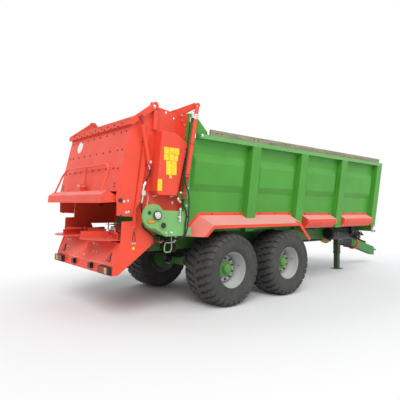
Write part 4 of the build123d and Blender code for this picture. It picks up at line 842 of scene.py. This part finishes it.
def drive_fittings():
    """Caps, adjusters and hooks round the floor drive's cover, and the guard's fasteners."""
    dark, silver, green = Form(), Form(), Form()
    dark.turned(at(-1.452, -COVER_Y, 1.464), (0, -1, 0), ((0, 0.066), (0.006, 0.066), (0.008, 0.063)), 40)
    silver.turned(
        at(-1.452, -COVER_Y - 0.006, 1.464), (0, -1, 0),
        ((0, 0.05), (0.007, 0.05), (0.01, 0.046), (0.01, 0.03), (0.013, 0.028), (0.013, 0.008)), 40,
    )  # fmt: skip
    dark.turned(at(-1.572, -COVER_Y + 0.022, 1.498), (0, -1, 0), ((0, 0.026), (0.006, 0.026), (0.01, 0.02)),
        24)
    dark.turned(at(-1.351, -COVER_Y + 0.008, 1.324), (0, -1, 0),
        ((0, 0.04), (0.01, 0.04), (0.013, 0.036), (0.013, 0.012), (0.017, 0.01)), 32)
    green.turned(at(-1.351, -COVER_Y + 0.022, 1.324), (0, -1, 0),
        ((0, 0.056), (0.01, 0.056), (0.013, 0.053)), 36)
    for x, z, radius in ((-1.062, 1.544, 0.019), (-1.074, 1.433, 0.023), (-1.068, 1.378, 0.018)):
        silver.turned(at(x, -1.2125, z), (0, -1, 0),
            ((0, radius * 1.3), (0.004, radius * 1.3), (0.004, radius), (0.02, radius),
                (0.023, radius * 0.7)), 6)
    silver.rod(at(-1.06, -1.219, 1.36), at(-1.064, -1.219, 1.57), 0.01)
    for z in (1.4, 1.47, 1.51):
        silver.turned(at(-1.064, -1.219, z), (0, 0, 1), ((0, 0.019), (0.016, 0.019)), 6)
    for x in (-1.4, -1.1):
        silver.turned(at(x - 0.025, -1.035, 1.731), (1, 0, 0),
            ((0, 0.01), (0.01, 0.013), (0.03, 0.013), (0.055, 0.01)), 14)
        silver.bolt(at(x + 0.02, -1.075, 1.7445), (0, 0, -1), 0.011)
    y = -1.052
    green.tube(
        path((-1.094, y, 1.18), (-1.09, y, 1.04), (-1.088, y, 0.975), (-1.115, y, 0.932), (-1.165, y, 0.926),
            (-1.205, y, 0.94), (-1.216, y, 0.99), (-1.2, y, 1.06)), 0.0095, 10,
    )  # fmt: skip
    silver.tube(path((-1.19, y, 1.066), (-1.13, y, 1.062), (-1.06, y, 1.066)), 0.008, 8)
    chain(silver, path((-1.02, y, 1.175), (-1.01, y, 1.12), (-1.045, y, 1.066)), 0.04, 0.0055)
    for x in (-1.696, -1.658):
        silver.bolt(at(x, -SIDE_Y, 1.074), (0, -1, 0), 0.01)
        dark.tube(path((-1.673, -SIDE_Y - 0.006, 1.24), (x - 0.004, -SIDE_Y - 0.01, 1.16),
            (x, -SIDE_Y - 0.012, 1.084)), 0.0035, 8)
    for side in (-1, 1):
        dark.turned(at(-1.906, side * 1.0012, 1.662), (0, side, 0),
            ((0, 0.03), (0.012, 0.03), (0.018, 0.022)), 24)
    piece(dark, "cover_caps", "black_plastic", smooth=32)
    piece(silver, "adjusters_and_chain", "zinc", smooth=32)
    piece(green, "hook_and_boss", "cover_green", smooth=32)


def chain(form, points, pitch, wire):
    """Oval links along a line, each turned a quarter from the last."""
    line = [Vector(point) for point in points]
    lengths = [(b - a).length for a, b in zip(line, line[1:])]
    count = max(2, round(sum(lengths) / pitch))
    for index in range(count):
        target = sum(lengths) * (index + 0.5) / count
        run = 0
        while run < len(lengths) - 1 and target > lengths[run]:
            target -= lengths[run]
            run += 1
        way = (line[run + 1] - line[run]).normalized()
        centre = line[run] + way * target
        first, second = cross_axes(way)
        wide = first if index % 2 else second
        half, turn_r = pitch * 0.36, pitch * 0.3
        rings = []
        for step in range(16):
            angle = math.tau * (step + 0.5) / 16
            c, s = math.cos(angle), math.sin(angle)
            out = way * c + wide * s
            middle = centre + way * (half * (1 if c > 0 else -1)) + out * turn_r
            side = way.cross(wide)
            rings.append([middle + out * (wire * a) + side * (wire * b) for a, b in circle(6)])
        form.rings(rings, loop=True)


def gate_run(side):
    """The part of a gate hose beside its cylinder, passing outside the rod."""
    points = (
        (-0.932, 1.25, 2.85), (-0.943, 1.246, 2.7), (-0.978, 1.252, 2.41), (-1.012, 1.262, 2.15),
        (-1.032, HOSE_Y, 2.04), (-1.016, HOSE_Y, 1.93), (-0.96, HOSE_Y, 1.8), (-0.942, 1.263, 1.69),
    )  # fmt: skip
    return tuple((x, side * y, z) for x, y, z in points)


HOSES = (  # radius, points ahead of the axle
    (0.0125, ((-1.492, -1.052, 2.135), (-1.47, -1.052, 2.07), (-1.512, -1.05, 1.98), (-1.556, -1.046, 1.89))),
    (0.0125, (
        (-1.59, -1.04, 1.664), (-1.602, -1.036, 1.59), (-1.586, -1.03, 1.515), (-1.56, -1.026, 1.4),
        (-1.555, -1.02, 1.3), (-1.43, -1.012, 1.205), (-1.366, -1.012, 1.14), (-1.356, -1.006, 1.06),
        (-1.42, -0.96, 0.975), (-1.36, -0.8, 0.93), (-1.18, -0.62, 0.955))),
    (0.009, gate_run(-1) + (
        (-0.942, -1.255, 1.442), (-0.957, -1.236, 1.23), (-0.985, -1.18, 1.13), (-1.02, -1.02, 1.105),
        (-1.0, -0.7, 1.06))),
    (0.012, (
        (-1.09, -1.225, 1.668), (-1.022, -1.24, 1.592), (-0.976, -1.242, 1.513), (-0.966, -1.236, 1.432),
        (-0.98, -1.234, 1.332), (-0.985, -1.226, 1.2), (-1.02, -1.17, 1.128), (-1.06, -0.98, 1.1),
        (-1.03, -0.7, 1.04))),
    (0.0125, (
        (-1.492, 1.052, 2.135), (-1.47, 1.052, 2.07), (-1.5, 1.04, 1.9), (-1.51, 1.02, 1.6),
        (-1.5, 1.02, 1.36), (-1.44, 1.01, 1.16), (-1.36, 0.94, 1.02), (-1.18, 0.62, 0.97))),
    (0.009, gate_run(1) + (
        (-0.942, 1.235, 1.442), (-0.957, 1.17, 1.23), (-0.985, 1.1, 1.13), (-1.0, 0.9, 1.09),
        (-1.0, 0.7, 1.06))),
)  # fmt: skip


def hydraulics():
    """Hoses clipped between their fittings, with elbows, valve and cylinder collars."""
    rubber_form, silver = Form(), Form()
    for radius, points in HOSES:
        rubber_form.tube([at(*point) for point in points], radius, 12, 6)
        for end, beside in ((points[0], points[1]), (points[-1], points[-2])):
            way = (at(*end) - at(*beside)).normalized()
            silver.turned(at(*end) - way * 0.035, way,
                ((0, radius * 1.25), (0.04, radius * 1.3), (0.045, radius * 1.45), (0.065, radius * 1.45)), 6)
    silver.tube(path((-1.497, -1.052, 2.155), (-1.512, -1.054, 2.178), (-1.515, -1.058, 2.205),
        (-1.497, -1.062, 2.222)), 0.0115, 10)
    for side in (1, -1):
        silver.rod(at(-1.496, side * 1.0905, 2.2), at(-1.496, side * 1.1, 2.2), 0.02, 20)
    silver.box(at(-1.612, -1.066, 1.735), at(-1.55, -1.022, 1.8))
    silver.rod(at(-1.556, -1.044, 1.895), at(-1.58, -1.043, 1.8), 0.015, 6)
    silver.rod(at(-1.568, -1.044, 1.85), at(-1.572, -1.044, 1.836), 0.021, 6)
    silver.rod(at(-1.58, -1.044, 1.735), at(-1.59, -1.042, 1.66), 0.015, 6)
    silver.tube(path((-1.56, -1.07, 1.77), (-1.528, -1.072, 1.752), (-1.513, -1.07, 1.69),
        (-1.527, -1.066, 1.617)), 0.0055, 8)
    silver.turned(at(-1.527, -1.074, 1.612), (0, 1, 0), ((0, 0.011), (0.018, 0.011)), 14)
    for x, z in ((-1.06, 1.788), (-1.104, 1.7)):
        silver.turned(at(x, -1.207, z), (0, -1, 0), ((0, 0.016), (0.02, 0.016), (0.024, 0.012)), 6)
    silver.tube(path((-1.104, -1.222, 1.7), (-1.106, -1.226, 1.685), (-1.092, -1.226, 1.67)), 0.012, 8)
    for side in (1, -1):
        clip_y = side * 1.252
        for z, x in ((2.41, -0.978), (1.442, -0.942)):
            rubber_form.box(at(x - 0.018, clip_y - side * 0.022, z - 0.01),
                at(x + 0.018, clip_y + side * 0.011, z + 0.01))
    piece(rubber_form, "hydraulic_hoses", "hose", smooth=60)
    piece(silver, "hydraulic_fittings", "zinc", bevel=0.0015)
    for side in (1, -1):
        hand = "left" if side > 0 else "right"
        collar = Form()
        top, way = at(-0.785, side * 1.235, 3.085), Vector((-0.16559, 0, -0.98619))
        for along in (0.145, 0.172, 0.199):
            collar.turned(top + way * along, way,
                ((0, 0.0325), (0.002, 0.0365), (0.02, 0.0365), (0.022, 0.0325)), 28)
        middle = top + way * 0.182
        collar.box(middle + Vector((-0.075, -0.014, -0.022)), middle + Vector((-0.024, 0.014, 0.02)))
        collar.tube(
            (middle + Vector((-0.062, 0, 0.01)), middle + Vector((-0.075, 0, 0.055)),
                middle + Vector((-0.055, 0, 0.085)), middle + Vector((-0.028, 0, 0.08))),
            0.0095, 10,
        )  # fmt: skip
        piece(collar, f"gate_cylinder_collar_{hand}", "zinc", f"gate_barrel_{hand}", smooth=32)
        rings = Form()
        for along, radius in ((0.59, 0.0318), (1.045, 0.0335), (1.085, 0.0335)):
            rings.turned(top + way * along, way,
                ((0, radius), (0.004, radius + 0.001), (0.012, radius + 0.001), (0.016, radius)), 28)
        piece(rings, f"gate_cylinder_seams_{hand}", "dark_red", f"gate_barrel_{hand}", smooth=32)


def front_hoses():
    """The hydraulic block and its looped hoses under the front of the body."""
    rubber_form, block, silver, bright = Form(), Form(), Form(), Form()
    block.box(at(4.3, -0.84, 0.985), at(4.64, -0.7, 1.075))
    block.box(at(4.36, -0.8, 1.075), at(4.58, -0.72, 1.175))
    for index in range(5):
        x = 4.33 + index * 0.068
        y = -0.86
        silver.rod(at(x, y, 1.035), at(x, y + 0.03, 1.035), 0.016, 6)
        silver.rod(at(x, -0.77, 0.984), at(x, -0.77, 0.955), 0.016, 6)
        sag = 0.885 - 0.018 * (index % 3)
        rubber_form.tube(
            path((x, -0.77, 0.97), (x + 0.01, -0.79, 0.92), (x + 0.06, -0.82 + 0.02 * index, sag),
                (x + 0.17, -0.8, sag + 0.012), (x + 0.26, -0.66, 0.93), (5.02, -0.34 + 0.012 * index, 0.915),
                    (5.18, -0.22 + 0.028 * index, 0.965 - 0.006 * index)),
            0.0125, 10, 6,
        )  # fmt: skip
        rubber_form.tube(
            path((x, -0.88, 1.035), (x + 0.01, -0.91, 1.02), (x + 0.04, -0.93, 0.955),
                (x + 0.1, -0.9, 0.925 + 0.012 * index), (x + 0.16, -0.84, 0.965), (x + 0.18, -0.72, 1.03)),
            0.0115, 10, 6,
        )  # fmt: skip
    rail = [at(5.18, 0, 0), at(6.4, 0, 0)]
    for index in range(5):
        y = -0.055 + 0.0275 * index
        low = Vector((0, y, 0.945 - 0.006 * index))
        points = [rail[0] + low, rail[0] + low + Vector((0.05, 0, -0.004))]
        points += [at(x, y * 0.9, 1.035 + (x - 5.0) * HOSE_SLOPE) for x in (5.45, 5.8, 6.15, 6.45)]
        rubber_form.tube(points, 0.0115, 10, 4)
        silver.turned(at(6.45, y * 0.9, 0.644), (1, 0, HOSE_SLOPE),
            ((0, 0.0135), (0.03, 0.0135), (0.03, 0.017), (0.055, 0.017)), 6)
    for x in (5.6, 6.1, 6.42):
        z = 1.035 + (x - 5.0) * HOSE_SLOPE
        block.box(at(x - 0.012, -0.07, z - 0.04), at(x + 0.012, 0.07, z + 0.016))
    for side in (1, -1):
        bright.prism(
            path((4.9, side * 1.0, 1.178), (4.905, side * 1.0, 1.06), (4.94, side * 1.0, 1.015),
                (4.985, side * 1.0, 1.01), (5.0, side * 1.0, 1.05), (4.99, side * 1.0, 1.178)),
            (0, side * 0.012, 0),
        )  # fmt: skip
        bright.box(at(4.905, side * 1.0, 1.166), at(4.988, side * 1.085, 1.178))
        bright.rod(at(4.95, side * 0.985, 1.05), at(4.95, side * 1.08, 1.05), 0.016)
        bright.rod(at(4.95, side * 1.07, 1.05), at(4.95, side * 1.08, 1.05), 0.03)
    piece(rubber_form, "front_hoses", "hose", smooth=60)
    piece(block, "hydraulic_block", "black", bevel=0.006)
    piece(silver, "hose_couplings", "zinc", smooth=30)
    piece(bright, "rope_hooks", "silver", bevel=0.003)


def bar_line(x, low):
    """Height of the drawbar's upper or lower edge at a distance ahead of the rear axle."""
    return (0.745 - 0.2644 * (x - 5.01)) if low else (0.993 - 0.2696 * (x - 5.01))


def drawbar_details():
    """Spring leaves with clamps at the drawbar's root; black side plates over the root and a black strip
    under the bar, both painted shade.
    """
    black, clamp = Form(), Form()
    for index in range(4):
        start, end = 5.125 + 0.01 * index, 5.7 - 0.055 * index
        drop = 0.006 + index * 0.013
        black.prism(
            [at(x, -0.055, bar_line(x, True) - drop - thick) for x,
                thick in ((start, 0.0), (end, 0.0), (end, 0.011), (start, 0.011))],
            (0, 0.11, 0),
        )
    # A black strip under the bar's lower edge: painted shade.
    black.prism(
        [at(x, -0.045, bar_line(x, True) - drop) for x,
            drop in ((5.76, 0.001), (6.78, 0.001), (6.78, 0.013), (5.76, 0.013))],
        (0, 0.09, 0),
    )
    # Black side plates over the drawbar's root: painted shade on its sides.
    for side in (1, -1):
        black.prism(
            [at(x, side * 0.0605, bar_line(x, low) + lift) for x, low, lift in (
                (5.13, True, -0.004), (5.64, True, -0.004), (5.7, True, 0.07), (5.66, False, 0.004),
                    (5.13, False, 0.004))],
            (0, side * 0.007, 0),
        )  # fmt: skip
        for x in (5.2, 5.4, 5.6):
            for low, lift in ((True, 0.03), (False, -0.03)):
                clamp.bolt(at(x, side * 0.0675, bar_line(x, low) + lift), (0, side, 0), 0.013)
    for x in (5.3, 5.52):
        for side in (1, -1):
            clamp.rod(at(x, side * 0.062, bar_line(x, True) - 0.066),
                at(x, side * 0.062, bar_line(x, True) + 0.012), 0.008)
        clamp.box(at(x - 0.03, -0.075, bar_line(x, True) - 0.071),
            at(x + 0.03, 0.075, bar_line(x, True) - 0.06))
    piece(black, "drawbar_spring_and_painted_shade", "black", bevel=0.001)
    piece(clamp, "drawbar_clamps", "bolt", smooth=30)


def riser_shade_sheets():
    """Black rubber sheets beside the deck's riser, under the end of the floor: painted shade over the riser.
    """
    form = Form()
    for side in (1, -1):
        rows = []
        for step in range(9):
            z = 1.243 - 0.043 * step
            bow = 0.012 * math.sin(math.pi * step / 8)
            rows.append((z, bow))
        front = [at(-0.925 + bow, side * 0.515, z) for z, bow in rows]
        back = [at(-0.933 + bow, side * 0.515, z) for z, bow in reversed(rows)]
        form.prism(front + back, (0, side * 0.415, 0))
    piece(form, "riser_painted_shade_sheets", "hose", smooth=40)


def drive_shaft_guard():
    """Ridged bell and tube of the guard, and the splines of the stub."""
    yellow, tube, steel = Form(), Form(), Form()
    centre, way = at(0, SHAFT_Y, SHAFT_Z), Vector((1, 0, 0))
    rows = [(4.62, 0.0345), (4.632, 0.046)]
    for ridge in range(5):
        start, radius = 4.64 + ridge * 0.032, 0.058 + ridge * 0.0095
        rows += [(start, radius), (start + 0.018, radius + 0.004), (start + 0.024, radius + 0.001)]
    rows += [(4.798, 0.1075), (4.872, 0.11), (4.874, 0.107), (4.8725, 0.04)]
    yellow.turned(centre, way, rows, 40)
    tube.turned(centre, way, ((-1.18, 0.0285), (-1.178, 0.0335), (4.628, 0.0335), (4.63, 0.0285)), 28)
    for x in (0.2, 1.75, 3.3):
        tube.turned(centre, way, ((x, 0.0335), (x + 0.004, 0.0385), (x + 0.036, 0.0385), (x + 0.04, 0.0335)),
            28)
    for index in range(6):
        turn = math.tau * index / 6
        out = Vector((0, math.cos(turn), math.sin(turn)))
        side = Vector((0, -math.sin(turn), math.cos(turn)))
        base = at(5.002, SHAFT_Y, SHAFT_Z) + out * 0.0168
        steel.prism(
            (base + side * 0.0042, base - side * 0.0042, base - side * 0.0036 + out * 0.001,
                base + side * 0.0036 + out * 0.001), (0.076, 0, 0)
        )
    piece(yellow, "shaft_guard_bell", "shaft_guard", smooth=35)
    piece(tube, "shaft_guard_tube", "black_plastic", smooth=35)
    piece(steel, "stub_splines", "bolt", smooth=0)


def running_gear():
    """Spring bolts and clips, brake chambers with their levers, pipes and tank straps."""
    dark, black, silver, pipe = Form(), Form(), Form(), Form()
    for axle_x in (0.0, 1.42):
        for side in (1, -1):
            y = side * 0.45
            for dx in (-0.075, 0.075):
                for dy in (-0.038, 0.038):
                    dark.rod(at(axle_x + dx, y + dy, 0.5), at(axle_x + dx, y + dy, 0.775), 0.0085, 10)
                    silver.turned(at(axle_x + dx, y + dy, 0.505), (0, 0, 1), ((0, 0.015), (0.014, 0.015)), 6)
            dark.box(at(axle_x - 0.1, y - 0.055, 0.518), at(axle_x + 0.1, y + 0.055, 0.532))
            chamber = at(axle_x - 0.14, side * 0.3, 0.64)
            black.turned(
                chamber, (-1, 0, 0.12),
                ((0, 0.058), (0.006, 0.072), (0.05, 0.076), (0.054, 0.083), (0.066, 0.083), (0.07, 0.076),
                    (0.11, 0.07), (0.128, 0.045)), 32,
            )  # fmt: skip
            silver.rod(chamber, chamber + Vector((0.1, 0, -0.012)), 0.008, 10)
            black.box(chamber + Vector((0.085, -0.012, -0.11)), chamber + Vector((0.11, 0.012, 0.02)))
            pipe.tube(
                (chamber + Vector((-0.1, 0, 0.07)), chamber + Vector((-0.08, side * 0.02, 0.16)),
                    chamber + Vector((0.02, side * 0.06, 0.215)),
                 chamber + Vector((0.12, side * 0.08, 0.24))), 0.0075, 8,
            )  # fmt: skip
        dark.rod(at(axle_x + 0.085, -0.6, 0.6), at(axle_x + 0.085, 0.6, 0.6), 0.014, 14)
    for side in (1, -1):
        for row, z in enumerate((0.985, 1.005)):
            pipe.tube(path((-0.95, side * 0.399, z), (1.8, side * 0.399, z), (4.85, side * 0.399, z)), 0.005,
                8, 1)
        for x in (-0.6, 0.9, 2.4, 3.9):
            silver.box(at(x - 0.01, side * 0.3925, 0.974), at(x + 0.01, side * 0.3995, 1.016))
    for x in (3.8, 4.4):
        dark.turned(at(x - 0.02, -0.65, 1.0), (1, 0, 0),
            ((0, 0.1392), (0, 0.1432), (0.04, 0.1432), (0.04, 0.1392)), 48)
    for x in (3.63, 4.57):
        black.turned(at(x - 0.004, -0.65, 1.0), (1, 0, 0), ((0, 0.139), (0.004, 0.142), (0.008, 0.139)), 48)
    silver.turned(at(4.1, -0.65, 0.862), (0, 0, -1),
        ((0, 0.018), (0.012, 0.018), (0.012, 0.01), (0.03, 0.01)), 6)
    silver.turned(at(4.598, -0.65, 1.03), (1, 0, 0), ((0, 0.02), (0.018, 0.02), (0.02, 0.014)), 6)
    pipe.tube(path((4.61, -0.65, 1.03), (4.66, -0.65, 1.03), (4.7, -0.62, 1.0), (4.72, -0.56, 0.98)), 0.008,
        8)
    piece(dark, "spring_bolts", "bolt", smooth=32)
    piece(black, "brake_chambers", "black", smooth=32)
    piece(silver, "brake_fittings", "zinc", smooth=32)
    piece(pipe, "brake_pipes", "hose", smooth=50)


def jack_fittings():
    """Cone on the foot, clamp bands, locking pin and crank."""
    green, silver = Form(), Form()
    green.turned(at(JACK_X, 0, 0.014), (0, 0, 1), ((0, 0.075), (0.012, 0.07), (0.06, 0.054), (0.064, 0.05)),
        32)
    piece(green, "jack_foot_cone", "jack_green", "jack_leg", smooth=30)
    band = Form()
    for z in (0.42, 0.64, 0.855):
        for low, high in (((-0.069, -0.069), (0.069, -0.0655)), ((-0.069, 0.0655), (0.069, 0.069)),
            ((-0.069, -0.069), (-0.0655, 0.069)), ((0.0655, -0.069), (0.069, 0.069))):
            band.box(at(JACK_X + low[0], low[1], z), at(JACK_X + high[0], high[1], z + 0.026))
    piece(band, "jack_bands", "black", bevel=0.0015)
    silver.rod(at(JACK_X, -0.092, 0.56), at(JACK_X, 0.092, 0.56), 0.0105)
    silver.turned(at(JACK_X, -0.096, 0.56), (0, 1, 0), ((0, 0.018), (0.01, 0.018)), 6)
    silver.tube(path((JACK_X, -0.07, 0.8), (JACK_X, -0.13, 0.8), (JACK_X, -0.15, 0.79), (JACK_X, -0.15, 0.7),
        (JACK_X, -0.165, 0.685), (JACK_X, -0.215, 0.685)), 0.009, 10, 3)
    piece(silver, "jack_crank", "steel", smooth=40)


def boards_and_latch():
    """Plank joints and bolts on the top boards, the flap's latch, left bearing flanges."""
    dark, red, silver, strap = Form(), Form(), Form(), Form()
    for side in (1, -1):
        for x in (-0.3, 0.55, 1.4, 2.25, 3.1, 3.95, 4.78):
            for dx in (-0.05, 0.05):
                place, normal = seat("top_boards", x + dx, side * 2, 2.728, (0, -side, 0))
                dark.bolt(place, normal, 0.008)
        for x in (0.95, 2.675, 3.55):
            place, _ = seat("top_boards", x, side * 2, 2.728, (0, -side, 0))
            strap.box(place + Vector((-0.003, -0.0015, -0.043)), place + Vector((0.003, 0.0015, 0.043)))
    for y in (-0.02, 0.06):
        red.box(at(-2.012, y - 0.006, 1.8), at(-1.962, y + 0.006, 1.905))
    silver.rod(at(-1.992, -0.045, 1.868), at(-1.992, 0.15, 1.884), 0.011)
    silver.bolt(at(-1.992, -0.045, 1.868), (0, -1, 0), 0.013)
    silver.tube(path((-1.992, 0.14, 1.884), (-2.0, 0.165, 1.895), (-1.998, 0.18, 1.872)), 0.008, 8)
    bearing, bearing_bolts = Form(), Form()
    for z in (1.86, 2.46):
        bearing.turned(
            at(-1.285, 1.006, z), (0, 1, 0),
                ((0, 0.098), (0.01, 0.098), (0.014, 0.09), (0.016, 0.06), (0.036, 0.056), (0.04, 0.048),
                    (0.041, 0.012)), 40
        )
        for turn in (0.25, 0.75, 1.25, 1.75):
            spot = at(-1.285, 1.018, z) + Vector((math.cos(turn * math.pi), 0,
                math.sin(turn * math.pi))) * 0.078
            bearing_bolts.bolt(spot, (0, 1, 0), 0.01)
    piece(dark, "board_bolts", "bolt", smooth=30)
    piece(strap, "board_joints", "black", bevel=0.0005)
    piece(red, "latch_bracket", "red", "hood", bevel=0.002)
    piece(silver, "latch_bolt", "zinc", "hood", smooth=35)
    piece(bearing, "beater_bearings", "red", smooth=32)
    piece(bearing_bolts, "bearing_bolts", "zinc", smooth=30)


def floor_chains():
    """Round-link chains between the slats of the floor conveyor."""
    links = Form()
    for side in (1, -1):
        for dy in (-0.034, 0.034):
            y = side * 0.47 + dy
            chain(links, (at(-0.88, y, 1.2745), at(4.88, y, 1.2745)), 0.062, 0.0058)
    piece(links, "floor_chains", "steel", smooth=50)


stickers()
rear_lights()
drive_fittings()
hydraulics()
front_hoses()
drawbar_details()
# Black sheets painted in as shade over the deck's riser.
riser_shade_sheets()
drive_shaft_guard()
running_gear()
jack_fittings()
boards_and_latch()
floor_chains()


# ------------------------------------------------------------------ camera, floor and light
FOCAL_PX, IMAGE_PX, SENSOR = 401.88, 400, 36.0
CAMERA_PLACE = (-4.542, -5.797, 1.602)
HEADING, PITCH, ROLL = math.radians(-40.015), math.radians(0.824), math.radians(0.763)


def camera():
    """The photograph's viewpoint: a standing person's eye to the right of the tail."""
    forward = Vector(
        (-math.sin(HEADING) * math.cos(PITCH), math.cos(HEADING) * math.cos(PITCH), math.sin(PITCH))
    )
    right = Vector((math.cos(HEADING), math.sin(HEADING), 0))
    up = right.cross(forward)
    across = right * math.cos(ROLL) + up * math.sin(ROLL)
    upward = up * math.cos(ROLL) - right * math.sin(ROLL)
    data = bpy.data.cameras.new("camera")
    data.sensor_width = SENSOR
    data.lens = FOCAL_PX * SENSOR / IMAGE_PX
    data.clip_end = 200
    made = bpy.data.objects.new("camera", data)
    made.matrix_world = Matrix.Translation(at(*CAMERA_PLACE)) @ Matrix(
        (across, upward, -forward)
    ).transposed().to_4x4()
    bpy.context.scene.collection.objects.link(made)
    bpy.context.scene.camera = made


def floor():
    """A pale floor that turns white away from the machine and keeps its shadow."""
    mesh = bpy.data.meshes.new("floor")
    reach = 60.0
    mesh.from_pydata([(-reach, -reach, 0), (reach, -reach, 0), (reach, reach, 0), (-reach, reach, 0)], [],
        [(0, 1, 2, 3)])
    ground = bpy.data.objects.new("floor", mesh)
    bpy.context.scene.collection.objects.link(ground)
    finish = Finish("pale_floor", roughness=0.9)
    finish.shader.inputs["Base Color"].default_value = (0.86, 0.86, 0.86, 1)
    distance = finish.node("ShaderNodeVectorMath", operation="LENGTH")
    finish.link(finish.stretched((0.55, 1.0, 1.0)), distance.inputs[0])
    far = finish.ranged(distance.outputs["Value"], 2.6, 4.4)
    white = finish.node("ShaderNodeEmission")
    white.inputs["Color"].default_value = (1, 1, 1, 1)
    rays = finish.node("ShaderNodeLightPath")
    seen = finish.maths("MAXIMUM", rays.outputs["Is Camera Ray"], rays.outputs["Is Glossy Ray"])
    blend = finish.node("ShaderNodeMixShader")
    finish.link(finish.maths("MULTIPLY", far, seen), blend.inputs["Fac"])
    finish.link(finish.shader.outputs["BSDF"], blend.inputs[1])
    finish.link(white.outputs["Emission"], blend.inputs[2])
    output = finish.tree.nodes["Material Output"]
    finish.link(blend.outputs["Shader"], output.inputs["Surface"])
    mesh.materials.append(finish.material)


def lights():
    """An even white sky, and a wide soft lamp from behind the camera's left."""
    world = bpy.data.worlds.new("sky")
    bpy.context.scene.world = world
    world.use_nodes = True
    tree = world.node_tree
    sky = tree.nodes["Background"]
    sky.inputs["Color"].default_value = (0.93, 0.96, 1.0, 1)
    sky.inputs["Strength"].default_value = 0.62
    backdrop = tree.nodes.new("ShaderNodeBackground")
    backdrop.inputs["Color"].default_value = (1, 1, 1, 1)
    rays = tree.nodes.new("ShaderNodeLightPath")
    seen, both = (tree.nodes.new("ShaderNodeMath") for _ in range(2))
    seen.operation = both.operation = "MAXIMUM"
    mix = tree.nodes.new("ShaderNodeMixShader")
    for source, socket in (
        (rays.outputs["Is Camera Ray"], seen.inputs[0]),
        (rays.outputs["Is Glossy Ray"], seen.inputs[1]),
        (seen.outputs[0], both.inputs[0]),
        (rays.outputs["Is Transmission Ray"], both.inputs[1]),
        (both.outputs[0], mix.inputs["Fac"]),
        (sky.outputs[0], mix.inputs[1]),
        (backdrop.outputs[0], mix.inputs[2]),
        (mix.outputs[0], tree.nodes["World Output"].inputs["Surface"]),
    ):
        tree.links.new(source, socket)
    for name, aim, strength, angle in (
        ("key", (0.55, 0.62, -0.72), 1.9, 35),
        ("fill", (-0.4, 0.75, -0.45), 0.5, 60),
    ):
        lamp = bpy.data.lights.new(name, "SUN")
        lamp.energy = strength
        lamp.angle = math.radians(angle)
        made = bpy.data.objects.new(name, lamp)
        made.rotation_mode = "QUATERNION"
        made.rotation_quaternion = Vector(aim).to_track_quat("-Z", "Y")
        bpy.context.scene.collection.objects.link(made)


camera()
floor()
lights()
bpy.context.scene.view_settings.view_transform = "Standard"
